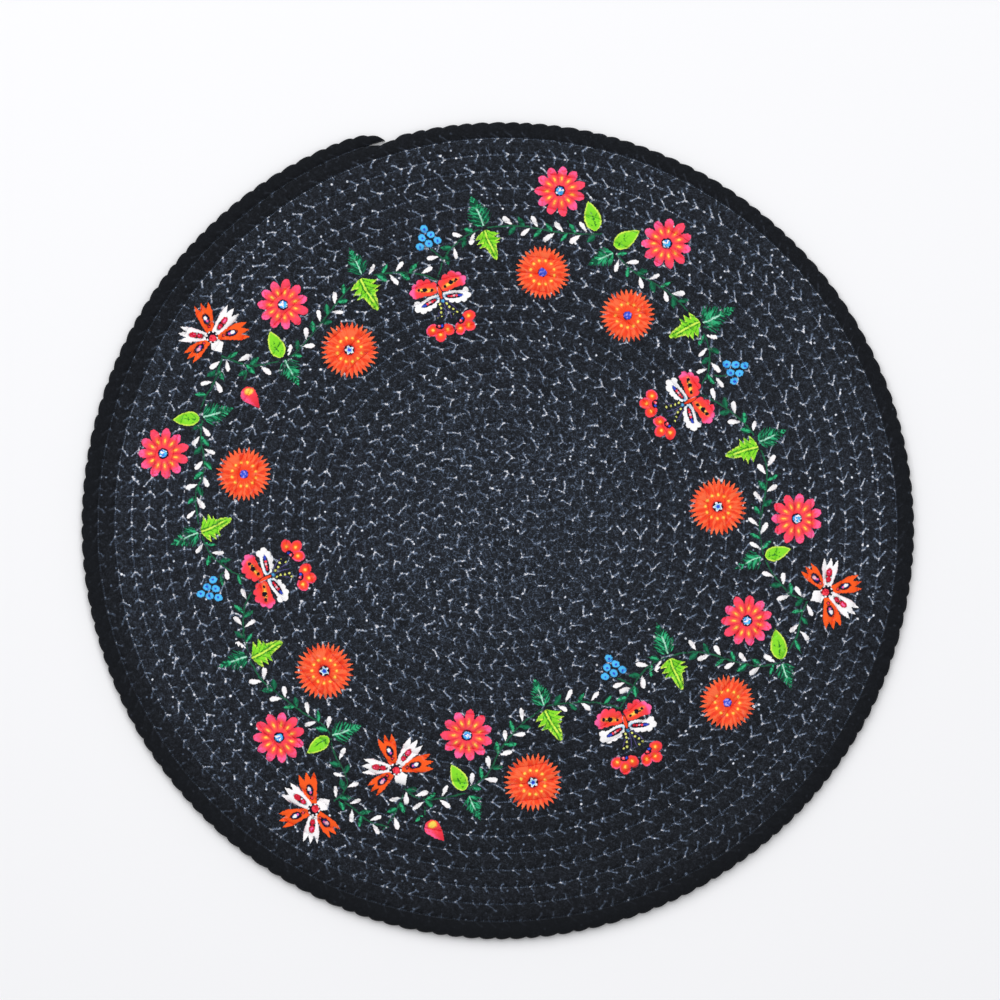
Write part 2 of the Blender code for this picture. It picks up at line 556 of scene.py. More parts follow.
@dataclass(frozen=True)
class Carnation(Motif):
    """Six toothed petals, flame and white by turns, the one in front cut short."""

    name: str = "carnation_print"
    reach: float = 17.8
    # Each petal's bearing in degrees, its length in millimetres, and whether it is white
    petals: tuple[tuple[float, float, bool], ...] = (
        (302, 15.2, False), (188, 16.6, False), (92, 17.6, False), (254, 15.6, True), (133, 16.8, True))
    short_petal: tuple[float, float, bool] = (22, 8.8, True)

    def covers(self, x: Array, y: Array) -> Array:
        """Whether points lie on a petal or the heart.

        Args:
            x, y: the points, in millimetres.

        Returns:
            True for each point inside.
        """
        inside = np.hypot(x, y) < 3.4
        for bearing, length, _ in (*self.petals, self.short_petal):
            turn = math.radians(bearing)
            along = x * math.cos(turn) + y * math.sin(turn)
            off = np.abs(y * math.cos(turn) - x * math.sin(turn))
            inside |= (along > 0) & (along < length + 0.4) & (off < along * 0.25 + 2.1)
        return inside

    def draw(self, ink: Ink) -> None:
        """Print the petals one by one, then the short one and the dotted heart.

        Args:
            ink: the print so far.
        """
        net = ink.net
        for bearing, length, white in self.petals:
            self.petal(ink, bearing, length, white)
        x, y, _ = net.split(net.moved(ink.point, 0.0, 0.0, self.short_petal[0] - 90))
        wide = (y * 0.5 + 0.7).least((8.5 - y) * 0.9)
        ink.lay((abs(x) - wide).fall(-0.16, 0.14) * y.above(0.5), Inks.WHITE)
        away = net.length(ink.point)
        ink.lay(away.fall(2.75, 3.05) * (away + ink.grain).fall(3.3, 3.6), Inks.NIGHT)
        dashes = abs(ink.turns(8).part() - 0.5).fall(0.16, 0.32)
        ink.tint(dashes * abs(away - 2.45).fall(0.2, 0.45), Inks.WHITE)
        heart = net.distance(ink.point, 0.7, 0.3)
        ink.lay((heart + ink.grain).fall(1.9, 2.3), Inks.ROSE)
        ink.tint(ink.grain.fall(0.4, 0.5), Inks.CRIMSON)

    def petal(self, ink: Ink, bearing: float, length: float, white: bool) -> None:
        """Print one fan of a petal with its ringed eye.

        Args:
            ink: the print so far.
            bearing: the petal's bearing in degrees.
            length: how far it reaches.
            white: whether it is white, and not flame.
        """
        net = ink.net
        x, y, _ = net.split(net.moved(ink.point, 0.0, 0.0, bearing - 90))
        fan = x / (y.most(0.0) * 0.24 + 1.1)
        tooth = (fan * 1.5 + 0.5).notched()
        end = length - 3.7 * tooth - 1.5 * fan * fan
        shape = ((abs(fan) - 1) * 2.5).most(y - end).fall(-0.18, 0.14) * y.above(0.6)
        ink.lay(shape, Inks.WHITE if white else Inks.FLAME)
        ink.tint(abs(fan).rise(0.72, 1.0) * ink.grain.rise(0.35, 0.55) * 0.5,
                 Inks.BLUSH if white else Inks.SCARLET)
        if white:
            self.red_eye(ink, net.join(x, y), length)
        else:
            self.dark_eye(ink, net.join(x, y), length)

    def red_eye(self, ink: Ink, point: Socket, length: float) -> None:
        """Print the two red beads of a white petal.

        Args:
            ink: the print so far.
            point: the place in the petal's frame.
            length: how far the petal reaches.
        """
        net = ink.net
        back = Blob(0.0, length * 0.46, 1.45, 3.9).gap(net, point)
        ink.tint(back.fall(-0.3, 0.2) * ink.grain.rise(0.34, 0.46), Inks.NIGHT)
        for place, size in ((0.57, 1.75), (0.36, 1.35)):
            gap = Blob(0.0, length * place, size * 0.78, size).gap(net, point)
            ink.tint(gap.fall(-0.2, 0.2), Inks.CRIMSON)
            ink.tint(gap.fall(-0.8, -0.4) * ink.grain.rise(0.45, 0.6), Inks.PINK)

    def dark_eye(self, ink: Ink, point: Socket, length: float) -> None:
        """Print the dark eye of a flame petal, with its pale middle.

        Args:
            ink: the print so far.
            point: the place in the petal's frame.
            length: how far the petal reaches.
        """
        net = ink.net
        dark = Blob(0.0, length * 0.52, 1.7, 2.9).gap(net, point)
        ink.tint((dark + ink.grain).fall(0.2, 0.7), Inks.NIGHT)
        ink.tint((dark + ink.grain).fall(-0.3, 0.1) * ink.grain.rise(0.42, 0.56) * 0.6, Inks.DEEP)
        pale = Blob(-0.2, length * 0.55, 0.75, 1.05, 12).gap(net, point)
        ink.tint(pale.fall(-0.2, 0.2), Inks.WHITE if length > 16 else Inks.BLUSH)
        ink.tint(net.distance(point, 0.2, length * 0.46).fall(0.35, 0.7), Inks.PINK)
        dot = net.distance(point, 0.3, length * 0.31)
        ink.tint((dot + ink.grain).fall(1.1, 1.5), Inks.NIGHT)
        ink.tint(dot.fall(0.3, 0.6), Inks.ROSE)


@dataclass(frozen=True)
class Butterfly(Motif):
    """Two scalloped rose wings over two white ones, with a small red body and beaded feelers."""

    name: str = "butterfly_print"
    reach: float = 17.0
    upper: tuple[Blob, ...] = (
        Blob(5.0, 2.6, 4.9, 2.5, 10), Blob(8.4, 3.5, 3.8, 3.1, 0), Blob(1.9, 4.2, 1.4, 1.6),
        Blob(4.3, 6.0, 1.6, 1.8), Blob(7.4, 6.6, 1.8, 1.9), Blob(10.1, 5.4, 1.7, 1.7),
        Blob(11.8, 3.4, 1.7, 1.6), Blob(11.0, 1.5, 1.5, 1.2))
    lower: tuple[Blob, ...] = (
        Blob(5.6, -2.4, 5.2, 1.8, -12), Blob(8.6, -3.6, 3.6, 2.3, -8), Blob(11.5, -2.1, 1.5, 1.4),
        Blob(11.8, -4.5, 1.6, 1.5), Blob(9.6, -5.7, 1.6, 1.5), Blob(6.9, -5.4, 1.6, 1.4),
        Blob(4.4, -4.7, 1.5, 1.3), Blob(2.5, -3.1, 1.2, 1.2))
    feelers: tuple[Pair, ...] = ((-4.6, -10.6), (-0.6, -12.0), (1.8, -12.8), (5.6, -10.2))
    beads: tuple[Pair, ...] = (
        (-1.5, -5.0), (-1.6, -6.9), (-2.1, -8.8), (-2.5, -10.9), (-4.3, -11.2), (1.5, -5.6), (2.2, -7.5),
        (3.7, -8.9), (5.0, -10.6), (3.2, -11.5))

    def covers(self, x: Array, y: Array) -> Array:
        """Whether points lie on the wings or between the feelers."""
        side = np.abs(x)
        middle = (np.abs(x - 1) < 1.5 - y * 0.5) & (y < 1) & (y > -13.4) | (side < 1.6) & (np.abs(y) < 3.6)
        return middle | any_holds(self.upper + self.lower, side, y)

    def draw(self, ink: Ink) -> None:
        """Print the feelers, then the wings, then the body.

        Args:
            ink: the print so far.
        """
        net = ink.net
        for x, y in self.feelers:
            self.feeler(ink, x, y)
        for x, y in self.beads:
            away = net.distance(ink.point, x, y) + ink.grain * 0.6
            ink.lay(away.fall(1.05, 1.3), Inks.NIGHT)
            ink.tint(away.fall(0.65, 0.95), Inks.BEAD)
        glow = net.distance(ink.point, 0.1, -3.9)
        ink.lay((glow + ink.grain).fall(0.9, 1.5) * 0.7, Inks.SKY)
        half = net.join(abs(ink.x), ink.y)
        self.lower_wings(ink, half)
        self.upper_wings(ink, half)
        ink.lay(Blob(0.0, 0.2, 1.1, 3.5).gap(net, ink.point).fall(-0.12, 0.12), Inks.NIGHT)
        ink.tint(Blob(-0.6, 1.2, 0.25, 1.8).gap(net, ink.point).fall(-0.1, 0.12), Inks.BLUSH)
        ink.lay(Blob(0.0, 0.2, 0.72, 3.0).gap(net, ink.point).fall(-0.12, 0.12), Inks.SCARLET)

    def lower_wings(self, ink: Ink, half: Socket) -> None:
        """Print the white wings with their dark spindles.

        Args:
            ink: the print so far.
            half: the place, with both sides folded into one.
        """
        net = ink.net
        ink.lay(union_gap(net, half, self.lower).fall(-0.14, 0.14), Inks.WHITE)
        ink.tint(Blob(3.4, -2.3, 2.6, 1.1, -10).gap(net, half).fall(-0.5, 0.4) * 0.6, Inks.SKY)
        spindle = Blob(5.9, -3.1, 4.2, 1.25, -12).gap(net, half)
        ink.tint((spindle + ink.grain * 0.5).fall(0.1, 0.4), Inks.NIGHT)
        ink.tint(Blob(8.6, -3.7, 1.0, 0.45, -12).gap(net, half).fall(-0.1, 0.3) * 0.8, Inks.DEEP)
        for x, y, colour in ((6.9, -3.3, Inks.ROSE), (4.6, -2.8, Inks.ROSE), (5.8, -3.0, Inks.BLUSH),
                             (3.4, -2.4, Inks.CRIMSON)):
            ink.tint(net.distance(half, x, y).fall(0.4, 0.75), colour)

    def upper_wings(self, ink: Ink, half: Socket) -> None:
        """Print the rose wings with their eyes.

        Args:
            ink: the print so far.
            half: the place, with both sides folded into one.
        """
        net = ink.net
        high = union_gap(net, half, self.upper)
        ink.lay(high.fall(-0.14, 0.14), Inks.ROSE)
        ink.tint(net.distance(half, 3.0, 1.2).rise(7.6, 9.4), Inks.PINK)
        ink.tint(net.distance(half, 5.0, 1.6).fall(2.5, 5.5) * 0.7, Inks.SCARLET)
        streak = Blob(6.0, 3.0, 4.6, 1.1, 16).gap(net, half)
        ink.tint(streak.fall(-0.3, 0.3) * ink.grain.rise(0.32, 0.46), Inks.AMBER)
        ink.tint(streak.fall(-0.7, -0.2) * ink.grain.rise(0.44, 0.54), Inks.YELLOW)
        for x, y, size in ((6.3, 3.3, 1.1), (3.2, 2.1, 0.7), (9.0, 3.9, 0.7), (7.9, 3.0, 0.4)):
            ragged = net.distance(half, x, y) + (ink.grain - 0.5) * 1.4
            ink.tint(ragged.fall(size - 0.15, size + 0.2), Inks.NIGHT)

    def feeler(self, ink: Ink, x: float, y: float) -> None:
        """Print one thin feeler from below the body.

        Args:
            ink: the print so far.
            x, y: the feeler's far end.
        """
        net = ink.net
        length = math.hypot(x, y + 2.6)
        turn = math.degrees(math.atan2(y + 2.6, x))
        along, off, _ = net.split(net.moved(ink.point, 0.0, -2.6, turn))
        bow = (along * (math.pi / length)).wave() * 0.5
        line = abs(off - bow).fall(0.12, 0.3) * along.above(0.0) * along.fall(length - 0.4, length)
        ink.lay(line * 0.85, Inks.FEELER)


@dataclass(frozen=True)
class Blossom(Motif):
    """A small blossom of three lobes on a cup."""

    name: str = "blossom_print"
    reach: float = 10.0
    lobes: tuple[Blob, ...] = (
        Blob(0.0, 5.3, 2.5, 3.0), Blob(-3.6, 2.7, 2.5, 3.0, 50), Blob(3.6, 2.7, 2.5, 3.0, -50))

    def covers(self, x: Array, y: Array) -> Array:
        """Whether points lie on the lobes or the cup."""
        return (np.hypot(x, y) < 2.5) | any_holds(self.lobes, x, y)

    def draw(self, ink: Ink) -> None:
        """Print the lobes, a spark in each, and the cup.

        Args:
            ink: the print so far.
        """
        net = ink.net
        gap = union_gap(net, ink.point, self.lobes)
        ink.lay(gap.fall(-0.14, 0.14), Inks.ROSE)
        ink.tint(gap.fall(-1.0, -0.3) * 0.85, Inks.SCARLET)
        lit = gap.rise(-0.7, -0.1) * ink.x.rise(0.5, 3.0) * ink.grain.rise(0.38, 0.54)
        ink.tint(lit * 0.8, Inks.PINK)
        for x, y in ((0.0, 4.9), (-3.4, 2.6), (3.4, 2.6)):
            away = net.distance(ink.point, x, y)
            ink.tint(away.fall(0.4, 1.6) * 0.7, Inks.AMBER)
            ink.tint(away.fall(0.35, 0.8), Inks.YELLOW)
        cup = Blob(0.0, 0.9, 2.0, 1.5).gap(net, ink.point)
        ink.lay(cup.fall(-0.15, 0.15), Inks.NIGHT)
        ink.tint(net.distance(ink.point, -0.9, 0.9).fall(0.35, 0.75), Inks.DEEP)
        ink.tint(net.distance(ink.point, 0.5, 1.0).fall(0.5, 0.85), Inks.ROSE)
        ink.tint(net.distance(ink.point, 0.4, 0.7).fall(0.15, 0.4), Inks.BLUSH)


@dataclass(frozen=True)
class Berries(Motif):
    """Six blue berries in a triangle."""

    name: str = "berry_print"
    reach: float = 9.0
    spacing: float = 4.1

    def places(self) -> list[Pair]:
        """Set the berries in rows of three, two and one.

        Returns:
            The berries' middles.
        """
        found = []
        for row in range(3):
            for i in range(3 - row):
                found.append(((i - (2 - row) / 2) * self.spacing, (1.1 - row) * self.spacing * 0.92))
        return found

    def covers(self, x: Array, y: Array) -> Array:
        """Whether points lie on a berry."""
        return np.any([np.hypot(x - cx, y - cy) < 2.4 for cx, cy in self.places()], axis=0)

    def draw(self, ink: Ink) -> None:
        """Print each berry with its darker heart.

        Args:
            ink: the print so far.
        """
        net = ink.net
        for number, (x, y) in enumerate(self.places()):
            berry = Blob(x, y, 1.85, 1.6, 20.0 * (number % 3) - 10)
            gap = berry.gap(net, ink.point)
            ink.lay(gap.fall(-0.12, 0.14), Inks.SKY)
            ink.tint(gap.rise(-0.5, 0.0) * gap.fall(0.0, 0.2) * 0.35, Inks.BLUE)
            heart = net.distance(ink.point, x + 0.2, y - 0.1) + (ink.grain - 0.5)
            ink.tint(heart.fall(0.3, 0.8), Inks.DEEP)


@dataclass(frozen=True)
class Bud(Motif):
    """A rose-red bud, round and yellow at its foot and pointed at its tip."""

    name: str = "bud_print"
    reach: float = 7.6

    def draw(self, ink: Ink) -> None:
        """Print the bud, lighter to one side, and its yellow foot.

        Args:
            ink: the print so far.
        """
        net = ink.net
        up = ((ink.y + 1.9) / 8.3).most(0.0)
        down = ((-1.9 - ink.y) / 3.4).share()
        wide = (1 - up ** 1.5) * (1 - down * down).root() * 3.6
        ink.lay((abs(ink.x) - wide).fall(-0.16, 0.14) * wide.above(0.05), Inks.ROSE)
        ink.tint(ink.y.rise(-1.0, 4.5) * 0.6, Inks.CRIMSON)
        ink.tint(ink.x.rise(0.2, 2.2) * ink.grain.rise(0.3, 0.55) * 0.7, Inks.PINK)
        foot = Blob(-1.0, -2.8, 2.1, 1.6, -25).gap(net, ink.point)
        ink.tint(foot.fall(-0.4, 0.2), Inks.YELLOW)
        ink.tint(foot.rise(-0.6, 0.0) * foot.fall(0.0, 0.4) * 0.7, Inks.AMBER)


@dataclass(frozen=True)
class ToothedLeaf(Outlined):
    """A bright leaf with spiked sides and a long tip; its base is at the origin."""

    name: str = "toothed_leaf_print"
    reach: float = 16.0
    heights: Floats = (-0.5, 1.0, 4.0, 8.0, 10.0, 14.9)
    halves: Floats = (1.0, 4.6, 6.5, 5.4, 3.0, 0.6)
    ends: Pair = (-0.6, 15.0)
    length: float = 14.6
    broad: float = 5.9

    def draw(self, ink: Ink) -> None:
        """Print the leaf, its yellow edges and its dark veins.

        Args:
            ink: the print so far.
        """
        side = abs(ink.x)
        tooth = ((ink.y - side * 0.6) / 2.4 + ink.x.above(0.0) * 0.45).part()
        base = ink.y.rise(-0.9, 2.4) * self.broad
        spiked = base * (1 - 0.5 * tooth) * ink.y.fall(6.4, 9.6)
        tongue = ((ink.y + 1.0) / 5.0).least((self.length - ink.y) / 5.4).most(0.0).root() * 2.25
        gap = side - spiked.most(tongue)
        shape = gap.fall(-0.16, 0.14) * ink.y.above(0.0) * ink.y.fall(self.length - 0.2, self.length + 0.1)
        ink.lay(shape, Inks.LIME)
        ink.tint(gap.rise(-1.1, -0.2) * ink.grain.rise(0.3, 0.5), Inks.LEMON)
        vein = abs(ink.x - (ink.y * 0.4).wave() * 0.25)
        ink.tint(vein.fall(0.15, 0.5) * ink.y.fall(10.0, 12.0), Inks.LEMON)
        ink.tint(abs(vein - 0.75).fall(0.15, 0.45) * ink.grain.rise(0.4, 0.5) * 0.9, Inks.GRASS)
        veins = abs(((ink.y - side * 1.1) / 2.4 + 0.4).part() - 0.5).fall(0.06, 0.16)
        ink.tint(veins * vein.rise(0.4, 0.8) * ink.grain.rise(0.36, 0.5) * 0.8, Inks.GRASS)


@dataclass(frozen=True)
class OvalLeaf(Motif):
    """A bright leaf, full near its base and pointed at its tip; its base is at the origin."""

    name: str = "oval_leaf_print"
    reach: float = 15.0
    length: float = 13.6
    broad: float = 3.7

    def covers(self, x: Array, y: Array) -> Array:
        """Whether points lie in the leaf's outline."""
        widest = self.broad * np.sin(math.pi * np.clip(y / self.length, 0, 1) ** 0.72) ** 0.75
        return (np.abs(x) < widest + 0.4) & (y > -0.4) & (y < self.length + 0.4)

    def draw(self, ink: Ink) -> None:
        """Print the leaf with its yellow outline and broken dark veins.

        Args:
            ink: the print so far.
        """
        share = (ink.y / self.length).share()
        wide = ((share ** 0.72) * math.pi).wave().most(0.0) ** 0.75 * self.broad
        gap = abs(ink.x) - wide
        ink.lay(gap.fall(-0.16, 0.14) * ink.y.above(0.0), Inks.LIME)
        ink.tint(gap.rise(-1.0, -0.2) * (0.5 + 0.5 * ink.grain.rise(0.3, 0.5)), Inks.LEMON)
        vein = abs(ink.x - (ink.y * 0.35 + ink.kind).wave() * 0.5).fall(0.15, 0.5)
        ink.tint(vein * ink.y.rise(1.0, 2.0) * ink.y.fall(7.0, 9.5) * ink.grain.rise(0.42, 0.52), Inks.GRASS)
        strokes = abs(((ink.y - abs(ink.x) * 0.9) / 3.4).part() - 0.5).fall(0.06, 0.16)
        ink.tint(strokes * gap.fall(-1.2, -0.6) * ink.y.fall(7.5, 9.5) * ink.grain.rise(0.48, 0.56) * 0.8,
                 Inks.GRASS)


@dataclass(frozen=True)
class FeatherLeaf(Outlined):
    """A dark leaf like a feather, with a pale rib; its base is at the origin."""

    name: str = "feather_leaf_print"
    reach: float = 16.0
    heights: Floats = (-0.5, 1.0, 4.5, 8.0, 15.2)
    halves: Floats = (0.8, 4.4, 6.4, 5.0, 0.8)
    ends: Pair = (-0.6, 15.2)
    length: float = 14.8
    broad: float = 5.9

    def draw(self, ink: Ink) -> None:
        """Print the barbs, lighter and darker, and the pale rib.

        Args:
            ink: the print so far.
        """
        net = ink.net
        side = abs(ink.x)
        slant = (ink.y - side * 1.05) / 1.75
        tooth = slant.part()
        lot = net.random(slant.whole() + ink.x.above(0.0) * 31, 2.0)
        taper = ((self.length - ink.y) / 9.5).share() ** 0.85
        outline = ink.y.rise(-0.8, 3.2) * self.broad * taper
        gap = side - outline * (1 - tooth * (0.25 + 0.45 * lot))
        streak = net.noise(net.join(slant * 1.7, side * 0.3, ink.kind), 1.0, 2.0)
        body = (streak - (side / self.broad) * 0.12).rise(0.3, 0.42)
        ink.lay(gap.fall(-0.2, 0.2) * ink.y.above(0.0) * body, Inks.FERN)
        ink.tint(streak.rise(0.48, 0.6) * (0.3 + 0.7 * side.fall(1.5, 5.0)), Inks.MINT)
        rib = abs(ink.x - (ink.y * 0.3).wave() * 0.3)
        ink.lay(rib.fall(0.2, 0.5) * ink.y.above(0.3) * ink.y.fall(7.5, 9.5) * ink.grain.rise(0.3, 0.44),
                Inks.PALE)


@dataclass(frozen=True)
class Sprig(Outlined):
    """Something that grows from a stem, which passes the origin at the bearing of the sprig's number."""

    def stalk(self, ink: Ink) -> None:
        """Print the piece of stem that the sprig grows from."""
        off = abs(ink.x * ink.kind.wave() - ink.y * ink.kind.cosine())
        ink.lay(off.fall(0.2, 0.5) * (0.5 + 0.5 * ink.grain.rise(0.32, 0.52)), Inks.STEM)


@dataclass(frozen=True)
class Drop(Sprig):
    """A white drop with its point towards the stem."""

    name: str = "white_drop_print"
    reach: float = 7.4
    heights: Floats = (0.3, 0.8, 4.4, 6.2, 6.7)
    halves: Floats = (0.3, 0.5, 1.4, 1.2, 0.5)
    ends: Pair = (0.2, 6.8)
    length: float = 5.7

    def draw(self, ink: Ink) -> None:
        """Print the drop.

        Args:
            ink: the print so far.
        """
        self.stalk(ink)
        share = ((ink.y - 0.7) / self.length).share()
        wide = share ** 1.05 * (1 - share).root() * (2.7 + 0.3 * (ink.kind * 9).wave())
        shape = (abs(ink.x) - wide).fall(-0.18, 0.12) * share.above(0.001) * (1 - share).above(0.001)
        ink.lay(shape, Inks.WHITE)
        ink.tint(ink.x.rise(0.2, 0.8) * 0.12, Inks.BLUSH)


@dataclass(frozen=True)
class Leaflet(Sprig):
    """A small dark leaf, lighter along its middle."""

    name: str = "small_leaf_print"
    reach: float = 6.4
    heights: Floats = (0.0, 1.2, 2.8, 4.4, 5.7)
    halves: Floats = (0.4, 1.3, 1.6, 1.3, 0.4)
    ends: Pair = (0.0, 5.7)
    length: float = 5.0

    def draw(self, ink: Ink) -> None:
        """Print the leaf.

        Args:
            ink: the print so far.
        """
        self.stalk(ink)
        share = ((ink.y - 0.25) / self.length).share()
        wide = (share * math.pi).wave().most(0.0) ** 0.85 * (1.2 + 0.2 * (ink.kind * 9).wave())
        shape = (abs(ink.x) - wide).fall(-0.16, 0.12) * share.above(0.001)
        ink.lay(shape * (0.6 + 0.4 * ink.grain.rise(0.3, 0.5)), Inks.FERN)
        lit = 0.25 + 0.75 * (ink.kind * 23).wave().rise(-0.6, 0.6)
        ink.tint(abs(ink.x - 0.15).fall(0.25, 0.85) * ink.grain.rise(0.32, 0.52) * lit, Inks.MINT)


@dataclass(frozen=True)
class Vine(Motif):
    """A thin stem; x runs along it and y across it."""

    name: str = "vine_print"
    reach: float = 0.62

    def draw(self, ink: Ink) -> None:
        """Print the stem.

        Args:
            ink: the print so far.
        """
        wander = (ink.x * 0.9).wave() * 0.1
        stem = abs(ink.y - wander).fall(0.2, 0.5)
        ink.lay(stem * (0.5 + 0.5 * ink.grain.rise(0.32, 0.52)), Inks.STEM)


@dataclass(frozen=True)
class Placed:
    """A motif set on the mat: its place in millimetres, turn in degrees, size and own number."""

    motif: Motif
    x: float
    y: float
    turn: float = 0.0
    size: float = 1.0
    kind: float = 0.0


@dataclass
class Wreath:
    """The printed wreath, charted in whole and half millimetres from the mat's middle."""

    daisies: tuple = ((28.5, 157), (77.5, 132.5), (-98.5, 104), (-153, 35), (-99.5, -95.5), (-14, -94.5),
                      (113.5, -42), (136.5, 5))
    asters: tuple = ((20.5, 119), (59.5, 99), (-116, 25.5), (104.5, -79.5))
    star_asters: tuple = ((-68, 83), (-79, -65), (16, -116), (100.5, 10.5))
    carnations: tuple = ((-131, 89, 280), (150, -28.5, 188), (-46.5, -110, 280), (-83.5, -128.5, 10))
    # Each butterfly's place and the bearing of its head; its two blossoms and where they point
    butterflies: tuple = (
        (-26.5, 109.5, 107, ((-26.5, 95, -86), (-17.5, 97.5, -34))),
        (88, 59.5, 28, ((73, 58, 177), (78.5, 49, 222))),
        (58, -88.5, 107, ((57.5, -104, -85), (67.5, -101, -35))),
        (-106, -22.5, 205, ((-95.5, -12, 50), (-91, -21.5, -8))))
    berries: tuple = ((-33.5, 133.5, -41), (108.5, 72, -5), (51, -65, -40), (-130.5, -26.5, 168))
    buds: tuple = ((-113, 61, -51), (-28.5, -138, -48))
    # Leaves by their base and tip
    toothed: tuple = (
        (-6, 138.5, -0.5, 125), (-63, 116, -55, 101.5), (119, 38, 104, 34), (92.5, 96, 78.5, 89),
        (21.5, -83, 29, -97), (78.5, -59.5, 84, -73.5), (-112, -59, -98, -51.5), (-135.5, -1, -121.5, 5))
    ovals: tuple = (
        (45, 138.5, 41.5, 152), (53.5, 131, 65, 138.5), (-15, -119.5, -21, -108), (129, -59.5, 126.5, -46),
        (122, -12.5, 133.5, -9), (-99, 79.5, -104.5, 91.5), (-136.5, 51.5, -148.5, 50.5),
        (-77, -95.5, -86.5, -102.5))
    feathers: tuple = (
        (-6.5, 140.5, -12.5, 154.5), (-62.5, 118, -68, 130), (53, 128, 41.5, 122.5), (92.5, 95, 108.5, 102.5),
        (119, 40.5, 132, 46), (120, -12.5, 108.5, -18), (129.5, -61.5, 133.5, -73),
        (77.5, -57.5, 72.5, -43.5), (21, -81, 16.5, -68.5), (-75.5, -94.5, -62, -90), (-13, -122, -8, -133),
        (-114, -58.5, -127, -63), (-136.5, -1.5, -149, -7), (-135, 52, -121, 56), (-97.5, 78.5, -91, 66.5))
    # Stems by the x and y of their points, each in the direction that it grows
    vines: tuple = (
        (-126, 80, -114, 75, -98, 78, -91, 83, -79, 98, -69, 111, -64, 116),
        (-62, 117, -49, 119, -38, 119, -29, 116), (47, 137, 31, 137, 20, 139, 10, 141, -5, 140),
        (-6, 140, -9, 139, -18, 134, -25, 126, -27, 118), (52, 130, 62, 119, 72, 114, 81, 108, 91, 96),
        (92, 95, 97, 85, 97, 77, 96, 71, 91, 64), (119, 41, 113, 49, 105, 56, 94, 62),
        (121, -11, 119, 0, 121, 10, 123, 21, 123, 31, 119, 39),
        (141, -32, 134, -31, 129, -25, 125, -20, 121, -12),
        (141, -33, 138, -40, 137, -48, 134, -53, 130, -59),
        (129, -61, 121, -63, 113, -62, 105, -60, 97, -57, 88, -56, 79, -58),
        (78, -58, 73, -60, 66, -65, 61, -73, 57, -80),
        (-43, -118, -38, -123, -32, -124, -24, -123, -15, -121),
        (-15, -120, -10, -117, -4, -112, 0, -103, 4, -97, 9, -91, 15, -86, 21, -82),
        (22, -81, 29, -80, 39, -79, 49, -80, 55, -82),
        (-75, -125, -70, -121, -68, -115, -71, -109, -75, -102, -76, -95),
        (-76, -94, -80, -89, -86, -86, -93, -81, -98, -77, -103, -73, -108, -69, -113, -60),
        (-113, -58, -116, -48, -116, -40, -115, -33, -110, -26),
        (-136, 0, -132, -11, -126, -16, -121, -20, -111, -23),
        (-135, 51, -136, 44, -135, 37, -134, 31, -135, 24, -138, 18, -138, 11, -136, 0),
        (-126, 80, -130, 67, -135, 60, -136, 52), (-72, -123, -64, -129, -59, -134, -51, -136),
        (-43, -122, -47, -131, -51, -136), (-114, 75, -117, 66), (-33, -124, -33, -134),
        (-26, 126, -31, 130), (97, 71, 105, 71), (62, -72, 54, -68), (-124, -18, -128, -23))
    offset: Pair = (0.1, -1.2)  # from the chart to the mat
    placed: list[Placed] = field(default_factory=list)  # the foremost first

    def __post_init__(self) -> None:
        """Set out every motif, the foremost first."""
        order = (Motif, Daisy, Aster, StarAster, Carnation, Butterfly, Blossom, Berries, Bud, ToothedLeaf,
                 OvalLeaf, FeatherLeaf, Drop, Leaflet, Vine)
        self.kinds: dict[type, Motif] = {kind: kind() for kind in order}
        self.motifs = list(self.kinds.values())
        self.vine = self.kinds[Vine]
        for number, (x, y) in enumerate(self.daisies):
            self.put(Daisy, x, y, 37.0 * number, 1.0, 0.13 * number)
        for kind, flowers in ((Aster, self.asters), (StarAster, self.star_asters)):
            for number, (x, y) in enumerate(flowers):
                self.put(kind, x, y, 23.0 * number, 1.0, 0.29 * number)
        for x, y, turn in self.carnations:
            self.put(Carnation, x, y, turn)
        for x, y, head, blossoms in self.butterflies:
            for bx, by, bearing in blossoms:
                self.put(Blossom, bx, by, bearing - 90, 1.0, bx)
            self.put(Butterfly, x, y, head - 90)
        for x, y, turn in self.berries:
            self.put(Berries, x, y, turn)
        for x, y, bearing in self.buds:
            self.put(Bud, x, y, bearing - 90)
        leaf_kinds = ((ToothedLeaf, self.toothed), (OvalLeaf, self.ovals), (FeatherLeaf, self.feathers))
        for kind, leaves in leaf_kinds:
            for number, (x, y, tip_x, tip_y) in enumerate(leaves):
                bearing = math.degrees(math.atan2(tip_y - y, tip_x - x))
                size = math.hypot(tip_x - x, tip_y - y) / self.kinds[kind].length
                self.put(kind, x, y, bearing - 90, size, number * 1.7)
        self.stems = [self.smooth_stem(np.array(run, float).reshape(-1, 2)) for run in self.vines]
        for number, stem in enumerate(self.stems):
            self.grow(stem, number)

    def put(self, kind: type, *spot: float) -> None:
        """Set a motif of a kind on the chart, behind those that are there; spot is as in Placed."""
        self.placed.append(Placed(self.kinds[kind], *spot))

    def way_along(self, points: Array) -> Array:
        """The way along a line to each of its points."""
        return np.r_[0, np.cumsum(np.hypot(*np.diff(points, axis=0).T))]

    def smooth_stem(self, points: Array) -> Array:
        """Round a stem's corners.

        Args:
            points: the charted points.

        Returns:
            Points about half a millimetre apart along the stem.
        """
        for _ in range(3):
            near = points[:-1] * 0.75 + points[1:] * 0.25
            far = points[:-1] * 0.25 + points[1:] * 0.75
            middle = np.stack([near, far], 1).reshape(-1, 2)
            points = np.vstack([points[:1], middle, points[-1:]])
        run = self.way_along(points)
        even = np.linspace(0, run[-1], int(run[-1] / 0.5) + 2)
        return np.stack([np.interp(even, run, points[:, 0]), np.interp(even, run, points[:, 1])], 1)

